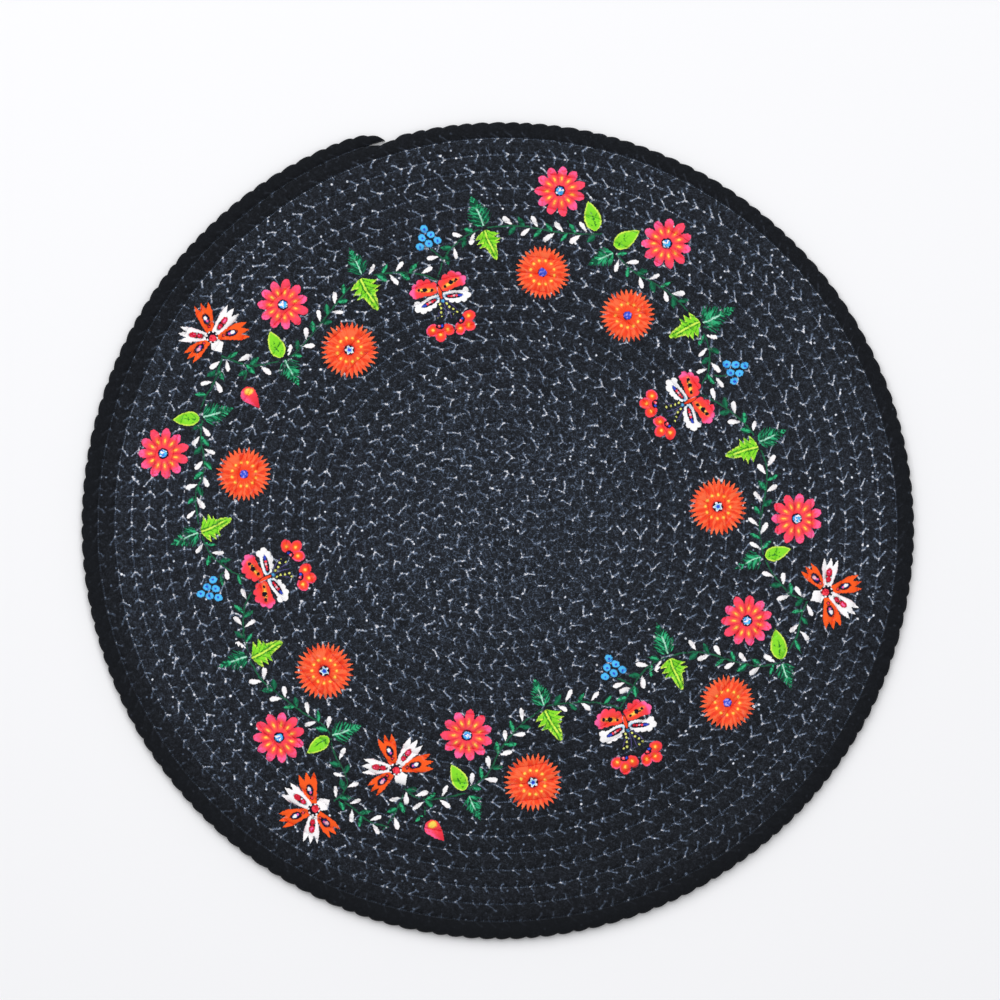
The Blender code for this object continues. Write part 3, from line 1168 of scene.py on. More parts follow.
    def grow(self, stem: Array, number: int) -> None:
        """Set drops and small leaves by turns on both sides of a stem, wherever there is room.

        Args:
            stem: the stem's points.
            number: the stem's number, which its small differences come from.
        """
        kinds = (self.kinds[Drop], self.kinds[Leaflet])
        draw = np.random.default_rng(number + 40)
        run = self.way_along(stem)
        ahead = np.gradient(stem, axis=0)
        bearings = np.degrees(np.arctan2(ahead[:, 1], ahead[:, 0]))
        for side in (1, -1):
            way = draw.uniform(0.5, 2.5)
            turn = number + (side > 0)
            while way < run[-1] - 0.8:
                at = int(np.argmin(np.abs(run - way)))
                lean = draw.uniform(36, 58) * side
                item = Placed(kinds[turn % 2], stem[at, 0], stem[at, 1], bearings[at] + lean - 90,
                              draw.uniform(0.92, 1.1), math.radians(90 - lean))
                if self.has_room(item):
                    self.placed.append(item)
                    way += draw.uniform(4.9, 6.9)
                    turn += 1
                else:
                    way += 1.3

    def has_room(self, sprig: Placed) -> bool:
        """Whether a sprig touches nothing that is there already.

        Args:
            sprig: the sprig, where it would be.

        Returns:
            True where it is free.
        """
        turn = math.radians(sprig.turn)
        across, up = np.meshgrid([-0.9, 0.0, 0.9], [2.0, 3.0, 4.0, 5.0, 6.2])
        x = sprig.x + across * math.cos(turn) - up * math.sin(turn)
        y = sprig.y + across * math.sin(turn) + up * math.cos(turn)
        for item in self.placed:
            if math.hypot(item.x - sprig.x, item.y - sprig.y) < item.motif.reach + 9:
                if item.motif.covers(*self.seen_from(item, x, y)).any():
                    return False
        points = np.stack([x[1:].ravel(), y[1:].ravel()], 1)
        gaps = [np.hypot(*(points[:, None, :] - stem[None, :, :]).transpose(2, 0, 1)).min()
                for stem in self.stems]
        return min(gaps) > 0.5

    def seen_from(self, item: Placed, x: Array, y: Array) -> tuple[Array, Array]:
        """Turn places on the mat into places in a motif.

        Args:
            item: the placed motif.
            x, y: the places on the chart.

        Returns:
            Their x and y in the motif's own millimetres.
        """
        turn = math.radians(item.turn)
        dx = (x - item.x) / item.size
        dy = (y - item.y) / item.size
        return dx * math.cos(turn) + dy * math.sin(turn), dy * math.cos(turn) - dx * math.sin(turn)

    def print_on(self, corners: Array) -> tuple[Array, Array]:
        """Find what is printed on each face.

        Args:
            corners: the places of the faces' corners in millimetres, faces by corners by x and y.

        Returns:
            The number of each face's motif, and each corner's place in that motif's own millimetres with the
            motif's own number.
        """
        corners = corners - np.array(self.offset)
        motif_of = np.zeros(len(corners), np.int32)
        place = np.zeros((*corners.shape[:2], 3), np.float32)
        free = np.ones(len(corners), bool)
        middle = corners.mean(1)
        for item in self.placed:
            away = np.hypot(middle[:, 0] - item.x, middle[:, 1] - item.y)
            found = np.flatnonzero(free & (away < item.motif.reach * 1.2 + 1))
            if not len(found):
                continue
            x, y = self.seen_from(item, corners[found, :, 0], corners[found, :, 1])
            inside = item.motif.covers(x, y).any(1)
            found = found[inside]
            motif_of[found] = self.motifs.index(item.motif)
            place[found] = np.stack([x[inside], y[inside], np.full(x[inside].shape, item.kind)], 2)
            free[found] = False
        self.print_vines(corners, middle, free, motif_of, place)
        return motif_of, place

    def print_vines(self, corners: Array, middle: Array, free: Array, motif_of: Array,
                    place: Array) -> None:
        """Give the faces that are left to the nearest stem.

        Args:
            corners: the faces' corners.
            middle: the faces' middles.
            free: the faces that no other motif has.
            motif_of: the number of each face's motif, which is filled in.
            place: each corner's place, which is filled in.
        """
        nearest = np.full(len(corners), np.inf)
        for number, stem in enumerate(self.stems):
            low = stem.min(0) - self.vine.reach - 1
            high = stem.max(0) + self.vine.reach + 1
            near = np.flatnonzero(free & (middle > low).all(1) & (middle < high).all(1))
            if not len(near):
                continue
            run = self.way_along(stem)
            ahead = np.gradient(stem, axis=0)
            ahead /= np.hypot(ahead[:, 0], ahead[:, 1])[:, None]
            points = corners[near].reshape(-1, 2)
            closest = np.concatenate([
                ((block[:, None, :] - stem[None, :, :]) ** 2).sum(2).argmin(1)
                for block in np.array_split(points, max(1, len(points) // 20000))])
            off = points - stem[closest]
            course = ahead[closest]
            along = run[closest] + (off * course).sum(1)
            across = course[:, 0] * off[:, 1] - course[:, 1] * off[:, 0]
            along = along.reshape(-1, 4)
            across = across.reshape(-1, 4)
            distance = np.abs(across).min(1) + np.maximum(-along.max(1), 0) * 9
            distance += np.maximum(along.min(1) - run[-1] - 5, 0) * 9
            wins = (distance < self.vine.reach) & (distance < nearest[near])
            wins &= along.max(1) > 0
            won = near[wins]
            nearest[won] = distance[wins]
            motif_of[won] = self.motifs.index(self.vine)
            kind = np.full(along[wins].shape, math.floor(run[-1]) + (0.137 * number) % 1)
            place[won] = np.stack([along[wins], across[wins], kind], 2)


# Finishes


@dataclass(frozen=True)
class Finish:
    """A matt material, built from nodes."""

    name: str
    gloss: float = 0.1  # how much light it reflects off its surface

    def material(self) -> bpy.types.Material:
        """Build the material.

        Returns:
            The finished material.
        """
        made = bpy.data.materials.new(self.name)
        made.use_nodes = True
        net = Network(made.node_tree)
        inputs = {"Specular IOR Level": self.gloss, **self.look(net)}
        shader = net.node("ShaderNodeBsdfPrincipled", None, inputs)
        net.node("ShaderNodeOutputMaterial", None, {"Surface": shader.outputs[0]})
        return made

    def look(self, net: Network) -> dict[str, object]:
        """What the shader is given, by the names of its sockets."""
        return {}


@dataclass(frozen=True)
class FloorPaint(Finish):
    """The plain pale floor."""

    name: str = "pale_floor"
    colour: Colour = (0.9, 0.9, 0.915, 1.0)

    def look(self, net: Network) -> dict[str, object]:
        """The paint, by the names of the shader's sockets."""
        return {"Base Color": self.colour, "Roughness": 0.9}


@dataclass(frozen=True)
class Cotton(Finish):
    """Plaited cotton, with the lie of its threads."""

    bump_strength: float = 0.35
    bump_depth: float = 0.00025
    sheen: float = 0.03
    row_half: float = 3.9  # millimetres

    def threads(self, net: Network, cord: Socket) -> Value:
        """The threads that run along the cord, light and dark."""
        run, across, _ = net.split(cord)
        return net.noise(net.join(run * 26, across * 2.2, 0.0), 1.0, 2.0)

    def cloth(self, net: Network, colour: Socket, rough: Value, height: Value) -> dict[str, object]:
        """Gather what every side of the cord has.

        Args:
            net: the material's nodes.
            colour: the cloth's colour.
            rough: its roughness.
            height: its relief, which the bump takes.

        Returns:
            What the shader is given, by the names of its sockets.
        """
        bump = net.node("ShaderNodeBump", None, {
            "Strength": self.bump_strength, "Distance": self.bump_depth, "Height": height})
        return {"Base Color": colour, "Roughness": rough, "Normal": bump.outputs[0],
                "Sheen Weight": self.sheen, "Sheen Roughness": 0.5}


@dataclass(frozen=True)
class SeamPlace:
    """Where a place on the upper side is from its nearest seam, with the noises that the marks share."""

    stitch: Value  # along the seam, in stitches
    outward: Value  # 1 on the outer half of the row, 0 on its inner half
    off: Value  # millimetres from the seam
    far: Value  # 0 at the mat's middle, 1 towards its rim
    speck: Value  # noise of half a millimetre
    fine: Value  # finer noise
    soft: Value  # coarser noise


@dataclass(frozen=True)
class PrintedCord(Cotton):
    """Plaited cotton with the print on it: white fibre shows where the ink didn't reach."""

    gloss: float = 0.12
    motif: Motif = Motif()
    stitch: float = 7.1  # millimetres

    def look(self, net: Network) -> dict[str, object]:
        """Print the motif on the worn ground.

        Args:
            net: the material's nodes.

        Returns:
            What the shader is given, by the names of its sockets.
        """
        where = net.millimetres()
        cord = net.attribute("cord")
        speck = net.noise(where, 1.5, 2.0)
        marks = self.marks(net, cord, where, speck)
        ink = Ink(net, self.ground(net, cord, marks))
        if self.motif.reach:
            ragged = net.node("ShaderNodeTexNoise", None, {"Vector": where, "Scale": 1.3, "Detail": 1.0})
            push = net.vector("SUBTRACT", ragged.outputs["Color"], (0.5, 0.5, 0.5))
            push = net.vector("MULTIPLY", push, (0.9, 0.9, 0.0))
            ink.enter(net.vector("ADD", net.attribute("motif"), push), net.noise(where, 0.9, 3.0))
            self.motif.draw(ink)
        thread = self.threads(net, cord)
        fine = net.noise(where, 5.2, 1.0)
        worn = net.mix(marks.rise(2.6, 4.8) * 0.08 * ink.cover, ink.colour, from_screen(236, 236, 240))
        shade = net.mix(thread.rise(0.4, 0.75) * ink.cover * 0.12, worn, from_screen(24, 18, 26))
        return self.cloth(net, shade, 0.82 + 0.14 * fine, thread * 0.5 + fine * 0.3 + speck * 0.2)

    def marks(self, net: Network, cord: Socket, where: Socket, speck: Value) -> Value:
        """Find the white fibre and sewing thread that the ink didn't reach.

        Args:
            net: the material's nodes.
            cord: the way along the cord in stitches, the place across it, and the print's wear with painted
                shade.
            where: the place on the mat in millimetres.
            speck: noise of half a millimetre.

        Returns:
            How much fibre shows: 0 for none, and one more for each doubling of the brightness.
        """
        _, across, wear_and_shade = net.split(cord)
        x, y, _ = net.split(where)
        far = x.hypotenuse(y).rise(15.0, 110.0)
        outer, inner, joined = net.split(net.attribute("sewn"))
        outward = across.above(0.0)
        stitch = outer * outward + inner * (1 - outward)
        off = (1 - abs(across)) * self.row_half
        fine = net.noise(where, 3.2, 1.0)
        soft = net.noise(where, 0.55, 1.0)
        dotted = abs((stitch * 7).part() - 0.5).fall(0.14, 0.42)
        worn = 0.65 + 0.4 * soft.rise(0.36, 0.6)
        thread = off.fall(0.2, 0.62) * (2.3 + dotted * 1.4) * (0.5 + speck * 0.8)
        seams = thread * worn * (0.65 + 0.35 * wear_and_shade)
        edge = joined + (1 - outward) * (1 - joined)
        place = SeamPlace(stitch, outward, off, far, speck, fine, soft)
        cloud = (speck - 0.5) * 3.2 + (soft - 0.5) * 2.6 + (fine - 0.5) * 1.2 - far * 0.25
        web, bright_specks = self.flecks(net, where, place)
        plait = self.strands(net, place) * edge + web + bright_specks + cloud
        most = 1.0 + 0.12 * far
        # The marks are dimmer where wear_and_shade paints shade.
        return seams * edge * (0.6 + 0.4 * far) + plait * (wear_and_shade * (1.2 + 0.25 * far)).least(most)

    def strands(self, net: Network, at: SeamPlace) -> Value:
        """Find the unprinted strands that reach out from the seams, and the knots at both their ends.

        Args:
            net: the material's nodes.
            at: the place beside its seam.

        Returns:
            How much fibre shows in them.
        """
        number = at.stitch.whole() * 2 + at.outward
        lot = net.random(number, 5.0)
        other = net.random(number, 61.0)
        along = (at.stitch.part() - 0.22 - 0.28 * net.random(at.stitch.whole(), 17.0)) * self.stitch
        slope = (0.95 - 0.5 * at.outward) + (lot - 0.5) * 1.3
        reach = 1.1 + other * 2.0
        stray = along - at.off * slope + (at.speck - 0.5) * 1.4 + (at.soft - 0.5) * 2.0
        line = abs(stray / (1 + slope * slope).root()).fall(0.08, 0.6)
        arms = line * (at.off - reach).fall(-0.4, 0.8) * (1.9 - at.far * 0.1 + lot * 1.4 + at.fine * 1.3)
        tip = (along - reach * slope).hypotenuse(at.off - reach)
        foot = (along + (other - 0.5)).hypotenuse(at.off)
        knots = (tip + at.fine * 0.8).fall(0.5, 1.35) * (lot * 6.4 - 1.6).most(0.0)
        knots = knots.most((foot + at.fine * 0.8).fall(0.5, 1.35) * (other * 5.8 - 1.3).most(0.0))
        return arms.most(knots)

    def flecks(self, net: Network, where: Socket, at: SeamPlace) -> tuple[Value, Value]:
        """Find the thin lines of unprinted fibre between the strands and the bright single specks.

        Args:
            net: the material's nodes.
            where: the place on the mat in millimetres.
            at: the place beside its seam.

        Returns:
            How much fibre shows in the lines, and how bright the specks scattered at random are.
        """
        inputs = {"Vector": where, "Scale": 0.36}
        cells = net.node("ShaderNodeTexVoronoi", {"feature": "DISTANCE_TO_EDGE"}, inputs)
        web = net.value(cells, "Distance").fall(0.02, 0.2) * at.speck.rise(0.4, 0.6) * (2.0 - at.far * 1.1)
        dots = net.node("ShaderNodeTexVoronoi", None, {"Vector": where, "Scale": 0.42})
        chance, _, _ = net.split(dots.outputs["Color"])
        return web, net.value(dots, "Distance").fall(0.14, 0.34) * (chance * 7 - 4.6).most(0.0) * 2.0

    def ground(self, net: Network, cord: Socket, marks: Value) -> Socket:
        """Colour the dark print with the fibre that shows in it, and with painted shade.

        Args:
            net: the material's nodes.
            cord: the way along the cord in stitches, the place across it, and the print's wear with painted
                shade.
            marks: how much fibre shows.

        Returns:
            The colour.
        """
        _, _, wear_and_shade = net.split(cord)
        # Painted shade: the ground is darker where wear_and_shade is low, towards the front and back of the
        # mat.
        level = 2.0 ** (marks + wear_and_shade * 1.9 - 7.45).least(-0.15)
        tone = net.mix(level.rise(0.01, 0.06), (0.82, 0.97, 1.3, 1.0), (0.74, 0.98, 1.44, 1.0))
        tone = net.mix(level.rise(0.16, 0.5), tone, (1.0, 1.0, 1.04, 1.0))
        return net.scaled(tone, level)


@dataclass(frozen=True)
class BareCord(Cotton):
    """Unprinted plaited cotton, with the dark ink bled round its rim."""

    name: str = "unprinted_cord"
    gloss: float = 0.2
    bump_strength: float = 0.4
    bump_depth: float = 0.0003
    sheen: float = 0.08

    def look(self, net: Network) -> dict[str, object]:
        """Colour the cotton, with painted shade in its grooves and seams, and the ink that bled through.

        Args:
            net: the material's nodes.

        Returns:
            What the shader is given, by the names of its sockets.
        """
        where = net.millimetres()
        cord = net.attribute("cord")
        run, across, rim = net.split(cord)
        groove = (abs((run + 0.5).part() - 0.5) * 5.5).fall(0.1, 0.7)
        seam = ((1 - abs(across)) * self.row_half).fall(0.1, 0.8)
        cloud = net.noise(where, 0.05, 3.0)
        fine = net.noise(where, 4.0, 2.0)
        thread = self.threads(net, cord)
        # Painted shade: the grooves and seams darkened.
        colour = net.mix(groove.most(seam) * 0.75, from_screen(222, 217, 204), from_screen(168, 161, 146))
        colour = net.mix(cloud.rise(0.4, 0.7) * 0.25, colour, from_screen(206, 196, 172))
        colour = net.mix(thread.rise(0.3, 0.7) * 0.2, colour, from_screen(244, 240, 230))
        bled = (rim + (fine - 0.5) * 3.0 + (net.noise(where, 0.35, 2.0) - 0.5) * 3.0).fall(2.2, 4.5)
        through = groove * seam * fine.rise(0.5, 0.62) * 0.5
        colour = net.mix(bled.most(through), colour, from_screen(27, 28, 33))
        return self.cloth(net, colour, 0.85 + 0.1 * fine, thread * 0.6 + fine * 0.4)


# The cord


@dataclass(frozen=True)
class CordRun:
    """The spiral that the cord is sewn in, with the solid's sizes; angles are wound from its outer end."""

    outer_radius: float = 0.1939
    pitch: float = 0.0078
    tail_bearing: float = math.radians(106.8)
    tip_share: float = 0.80
    tip_angle: float = math.radians(1.6)
    tail_angle: float = math.radians(30)
    scallops: int = 166
    scallop_points: int = 4
    scallop_depth: float = 0.0006
    stitch: float = 0.0071  # of the plait and of the sewing
    slit_depth: float = 0.0014

    def ideal(self, wound: Array) -> Array:
        """The radius of a row's outer side on the even spiral."""
        return np.maximum(self.outer_radius - self.pitch * wound / TAU, 0.0)

    def side(self, wound: Array) -> Array:
        """The radius of a row's outer side, with the tapered outer end.

        Args:
            wound: angles wound from the outer end.

        Returns:
            The radii.
        """
        quick = 1 - np.exp(-wound / self.tip_angle)
        slow = 1 - np.exp(-wound / self.tail_angle)
        share = self.tip_share * quick + (1 - self.tip_share) * slow
        return np.where(wound >= TAU, self.ideal(wound), self.ideal(wound + TAU) + self.pitch * share)

    def slit(self, wound: Array) -> Array:
        """How far the second turn's outer side stands off from the loose tip of the cord.

        Args:
            wound: angles wound from the outer end.

        Returns:
            The widths.
        """
        past = np.degrees(wound - TAU)
        rise = np.clip((past + 2.5) / 2.2, 0, 1)
        fall = np.clip((2.9 - past) / 1.7, 0, 1)
        return self.slit_depth * rise * rise * (3 - 2 * rise) * fall * fall * (3 - 2 * fall)

    def sewn(self, wound: Array) -> Array:
        """How many stitches along its seam a place is, which both rows at the seam agree on."""
        return (self.outer_radius * wound - self.pitch * wound ** 2 / (2 * TAU)) / self.stitch

    def place(self, wound: Array, radius: Array, height: Array) -> Array:
        """Turn places on the coil into points of the mat.

        Args:
            wound, radius, height: the places.

        Returns:
            Lines by columns by x, y and z.
        """
        bearing = self.tail_bearing + wound
        across, up = self.shift()
        return np.stack([radius * np.cos(bearing) + across, radius * np.sin(bearing) + up, height], 2)

    def shift(self) -> Array:
        """How far the solid was moved so that the middle of its outline is the origin.

        Returns:
            The move in x and y.
        """
        count = self.scallops * self.scallop_points
        wound = TAU * np.arange(count) / count
        bulge = np.abs(np.sin(self.scallops * wound / 2))
        radius = self.side(wound) - self.scallop_depth * (1 - bulge)
        bearing = self.tail_bearing + wound
        outline = np.stack([radius * np.cos(bearing), radius * np.sin(bearing)], 1)
        return -(outline.max(0) + outline.min(0)) / 2


class Plait:
    """The cord's stitches: how long each is and how its groove bends, from the outer end to the middle."""

    def __init__(self, run: CordRun, seed: int = 11) -> None:
        """Lay out the stitches.

        Args:
            run: the spiral.
            seed: for the small differences from stitch to stitch.
        """
        self.run = run
        draw = np.random.default_rng(seed)
        last = (run.outer_radius / run.pitch - 0.06) * TAU
        self.wound = np.linspace(0.0006, last, 60001)
        outer = run.side(self.wound)
        inner = run.side(self.wound + TAU)
        middle = (outer + inner) / 2
        steps = (middle[1:] + middle[:-1]) / 2 * np.diff(self.wound)
        self.way = np.r_[0, np.cumsum(steps)]
        lengths = []
        drift = 0.0
        while sum(lengths) < self.way[-1]:
            drift = 0.8 * drift + draw.normal(0, 0.035)
            left = 1 - sum(lengths) / self.way[-1]
            nominal = run.stitch * (0.86 + 0.14 * min(1, left * 12))
            lengths.append(nominal * (1 + drift + draw.normal(0, 0.03)))
        self.ends = np.r_[0, np.cumsum(lengths)]
        self.ends *= self.way[-1] / self.ends[-1]
        self.count = len(lengths)
        size = self.count + 1
        self.peak = np.clip(draw.normal(0.32, 0.07, size), 0.1, 0.5)
        self.inner_arm = np.clip(draw.normal(0.0036, 0.0004, size), 0.0026, 0.0046)
        self.outer_arm = np.clip(draw.normal(0.0020, 0.0003, size), 0.0012, 0.0028)
        self.lift = draw.normal(0, 1, size)
        self.swell = draw.normal(0, 1, size)

    def at(self, table: Array, place: Array) -> Array:
        """A table of the grooves at places in stitches, blended from one groove to the next."""
        return np.interp(place, np.arange(len(table)), table)

    def way_at(self, place: Array, across: Array) -> Array:
        """How far along the cord a point of a slanting line is.

        Args:
            place: places in stitches.
            across: places across the cord, from -1 inside to 1 outside.

        Returns:
            The way in metres.
        """
        way = self.at(self.ends, place)
        peak = self.at(self.peak, place)
        inward = np.maximum(peak - across, 0) / (1 + peak)
        outward = np.maximum(across - peak, 0) / (1 - peak)
        drop = self.at(self.inner_arm, place) * inward ** 1.15
        drop = drop + self.at(self.outer_arm, place) * outward ** 1.15
        near_middle = np.clip((self.way[-1] - way) / 0.25, 0.15, 1)
        at_tip = np.clip(way / 0.02, 0, 1)
        return np.clip(way - drop * near_middle * at_tip, 0, self.way[-1])

    def wound_at(self, way: Array) -> Array:
        """The angle wound, by the way along the cord."""
        return np.interp(way, self.way, self.wound)


@dataclass
class Shell:
    """A grid of points over part of the cord, with what the mesh needs to know at each of them."""

    points: Array  # lines by columns by x, y, z
    attributes: dict[str, Array]  # each attribute's vector at each point
    way: Array
    per_stitch: int
    upward: bool = True

    def normals(self) -> Array:
        """The surface's direction at each point.

        Returns:
            Unit vectors, out of the cloth.
        """
        along = np.gradient(self.points, axis=0)
        out = np.gradient(self.points, axis=1)
        cross = np.cross(out, along)
        cross /= np.maximum(np.linalg.norm(cross, axis=2, keepdims=True), 1e-12)
        return cross if self.upward else -cross


class ClothMesh:
    """Builds the mesh of a stretch of a shell."""

    def __init__(self, shell: Shell, start: int, end: int) -> None:
        """Choose the stretch.

        Args:
            shell: the whole grid.
            start, end: the first and last line of the stretch.
        """
        self.shell = shell
        self.start = start
        self.lines = end - start + 1
        self.columns = shell.points.shape[1]
        self.part = slice(start, end + 1)
        i, j = np.meshgrid(np.arange(self.lines - 1), np.arange(self.columns - 1), indexing="ij")
        corner = (i * self.columns + j).ravel()
        ring = [corner, corner + 1, corner + self.columns + 1, corner + self.columns]
        self.faces = np.stack(ring if shell.upward else ring[::-1], 1)
        self.face_line = i.ravel()

    def corners(self) -> Array:
        """The x and y of every face's corners in millimetres."""
        flat = self.shell.points[self.part].reshape(-1, 3)[:, :2] / MM
        return flat[self.faces]

    def build(self, name: str) -> bpy.types.Object:
        """Make the mesh object with its attributes.

        Args:
            name: the piece's name.

        Returns:
            The object, linked to the scene.
        """
        mesh = bpy.data.meshes.new(name)
        points = self.shell.points[self.part].reshape(-1, 3)
        mesh.vertices.add(len(points))
        mesh.vertices.foreach_set("co", points.astype(np.float32).ravel())
        mesh.loops.add(self.faces.size)
        mesh.loops.foreach_set("vertex_index", self.faces.astype(np.int32).ravel())
        mesh.polygons.add(len(self.faces))
        mesh.polygons.foreach_set("loop_start", np.arange(0, self.faces.size, 4, dtype=np.int32))
        mesh.polygons.foreach_set("use_smooth", np.ones(len(self.faces), bool))
        mesh.update(calc_edges=True)
        normals = self.shell.normals()[self.part].reshape(-1, 3)
        mesh.normals_split_custom_set_from_vertices(normals.tolist())
        for title, vectors in self.shell.attributes.items():
            attribute = mesh.attributes.new(title, "FLOAT_VECTOR", "POINT")
            attribute.data.foreach_set("vector", vectors[self.part].astype(np.float32).ravel())
        piece = bpy.data.objects.new(name, mesh)
        bpy.context.scene.collection.objects.link(piece)
        return piece

    def unroll(self, piece: bpy.types.Object) -> None:
        """Lay the stretch out flat for baking, in rows that fill a square.

        Args:
            piece: the object that takes the map.
        """
        gap = 1.2
        margin = 6.0
        points = self.shell.points[self.part]
        widths = np.linalg.norm(np.diff(points, axis=1), axis=2).mean(0) / MM
        over = np.r_[0, np.cumsum(widths)]
        way = self.shell.way[self.part] / MM
        stitches = (self.lines - 1) / self.shell.per_stitch
        length = way[-1].mean() - way[0].mean()
        rows = max(1, round(math.sqrt(length / (over[-1] + gap))))
        per_row = math.ceil(stitches / rows)
        row = self.face_line // (per_row * self.shell.per_stitch)
        first = np.minimum(np.arange(rows + 1) * per_row * self.shell.per_stitch, self.lines - 1)
        start = way[first].min(1)
        reach = max(way[min(first[k + 1], self.lines - 1)].max() - start[k] for k in range(rows))
        size = max(reach + 2 * margin, rows * (over[-1] + gap))
        column = np.tile(np.arange(self.columns), self.lines)
        u = (way.ravel()[self.faces] - start[row][:, None] + margin) / size
        v = (row[:, None] * (over[-1] + gap) + over[column[self.faces]] + gap / 2) / size
        layer = piece.data.uv_layers.new(name="OFBake")
        layer.data.foreach_set("uv", np.stack([u, v], 2).astype(np.float32).ravel())


def cord_vectors(place: Array, across: Array, third: Array) -> Array:
    """The cord attribute: the place along it, the place across it, and a third number of the side's own."""
    return np.stack(np.broadcast_arrays(place, np.clip(across, -1, 1), third), 2)


@dataclass
class CoiledCord:
    """The upper side of the mat: the plaited cord, turn by turn."""

    run: CordRun
    plait: Plait
    wreath: Wreath
    crest: float = 0.0050
    seam: float = 0.0037
    tuck: float = 0.0019  # how far a row's edge goes down under its neighbour's
    groove: float = 0.00060
    waist: float = 0.00022  # how much a stitch bulges over its seams
    unevenness: float = 0.00012  # of the stitches' height
    rim_height: float = 0.0022
    rim_bulge: float = 0.0009
    blend: float = math.radians(6.5)  # past the first turn, where the rim goes under the outer end
    free_tip: float = math.radians(2.9)  # how far the outer end is loose on its inner side
    fractions: Floats = (0.0, 0.055, 0.13, 0.25, 0.39, 0.54, 0.69, 0.82, 0.92)
    columns: Floats = (-1.12, -0.97, -0.85, -0.65, -0.4, -0.1, 0.2, 0.45, 0.67, 0.85, 0.97, 1.12)
    rim_angles: Floats = (78, 64, 50, 37, 24, 10, -6, -22, -40, -58)
    turns: int = 24

    def lobe(self, part: Array) -> Array:
        """How high a stitch stands between its grooves, from 0 to 1.

        Args:
            part: the place within the stitch, from 0 to 1.

        Returns:
            The height's share; it rises fast and falls slowly, as each stitch lies over the next.
        """
        rise = 1 - np.abs(1 - part / 0.4) ** 2.3
        fall = 1 - ((part - 0.4) / 0.6).clip(0) ** 2.1
        return np.where(part < 0.4, rise, fall)

    def wobble(self, wound: Array) -> Array:
        """How far a seam wanders from the even spiral by hand."""
        waves = np.sin(wound * 3.1 + 1) + np.sin(wound * 7.7 + 4) * 0.7 + np.sin(wound * 17.3 + 2) * 0.5
        return 0.00010 * waves * np.clip((0.1 + self.run.ideal(wound)) / 0.15, 0, 1)

    def places(self, start: int, end: int) -> Array:
        """The lines of a stretch, in stitches."""
        stitches = np.arange(start, end)[:, None] + np.array(self.fractions)[None, :]
        return np.r_[stitches.ravel(), float(end)]

    def wear_and_shade(self, wound: Array, radius: Array) -> Array:
        """The print's wear, with painted shade: least on the outermost turn; the front and the back painted
        darker.

        Args:
            wound: the angles wound.
            radius: how far from the coil's middle the places are.

        Returns:
            A share, 1 at the most.
        """
        share = 0.25 + 0.75 * np.clip((wound / TAU - 0.6) / 1.3, 0, 1) ** 1.3
        share = share * (0.84 + 0.16 * np.clip(radius / 0.15, 0, 1) ** 2)
        # Painted shade: the share is cut towards the front of the mat and, less, towards its back, which
        # darkens the ground there.
        side = np.cos(self.run.tail_bearing + wound - math.radians(280))
        front = 0.06 + 0.32 * np.maximum(side, 0) ** 2 + 0.12 * np.maximum(-side, 0) ** 2
        return share * (1.0 - front * np.clip(radius / 0.15, 0, 1) ** 2)

    def shell(self, start: int, end: int, rim: bool) -> Shell:
        """Work out the points of a stretch of the cord.

        Args:
            start, end: its first and last stitch.
            rim: whether its outer side is the mat's rim.

        Returns:
            The grid.
        """
        place = self.places(start, end)[:, None]
        part = place - np.floor(place)
        lobe = self.lobe(part)
        lift = self.plait.at(self.plait.lift, np.floor(place) + 0.5) * np.sin(math.pi * part) ** 0.5
        if rim:
            angle = np.radians(np.array(self.rim_angles))
            inner = np.array([c for c in self.columns if c < 0.1])
            out = np.cos(angle) ** 0.9
            across = np.r_[inner, out][None, :]
            slant = np.r_[inner, np.where(angle > 0, out, 1 - angle * 0.35)][None, :]
        else:
            across = np.array(self.columns)[None, :]
            slant = np.clip(across, -1.06, 1.06)
        way = self.plait.way_at(place, slant)
        wound = self.plait.wound_at(way)
        across = np.where(wound < self.free_tip, np.maximum(across, -1), across)
        outer = self.run.side(wound) + self.wobble(wound) - self.run.slit(wound)
        inner_side = self.run.side(wound + TAU) + self.wobble(wound + TAU)
        inner_side = np.minimum(inner_side, outer - 0.00002)
        middle = (outer + inner_side) / 2
        half = (outer - inner_side) / 2
        edge = np.abs(across).clip(0, 1)
        waist = self.waist * (lobe - 0.6) * edge ** 3
        radius = middle + across * (half + waist)
        height = self.seam + (self.crest - self.seam) * (1 - edge ** 2.4) ** 0.6
        depth = self.groove * (0.45 + 0.55 * edge ** 1.5)
        height = height - depth * (1 - lobe) + self.unevenness * lift
        height = height - np.maximum(np.abs(across) - 0.97, 0) / 0.15 * self.tuck
        height[:, :1] = np.where(wound[:, :1] < self.free_tip, 0.0002, height[:, :1])
        if rim:
            radius, height = self.round_rim(radius, height, wound, middle, half, lobe, lift)
        nose = np.clip(half / 0.0011, 0, 1) ** 0.5
        height = height * (0.8 + 0.2 * np.clip(wound / math.radians(9), 0, 1)) * nose
        joined = np.clip((wound - TAU) / 0.02, 0, 1)
        sewn = np.stack([self.run.sewn(wound), self.run.sewn(wound + TAU), joined], 2)
        return Shell(self.run.place(wound, radius, height),
                     {"cord": cord_vectors(place, across, self.wear_and_shade(wound, radius)), "sewn": sewn},
                     np.broadcast_to(way, radius.shape), len(self.fractions))

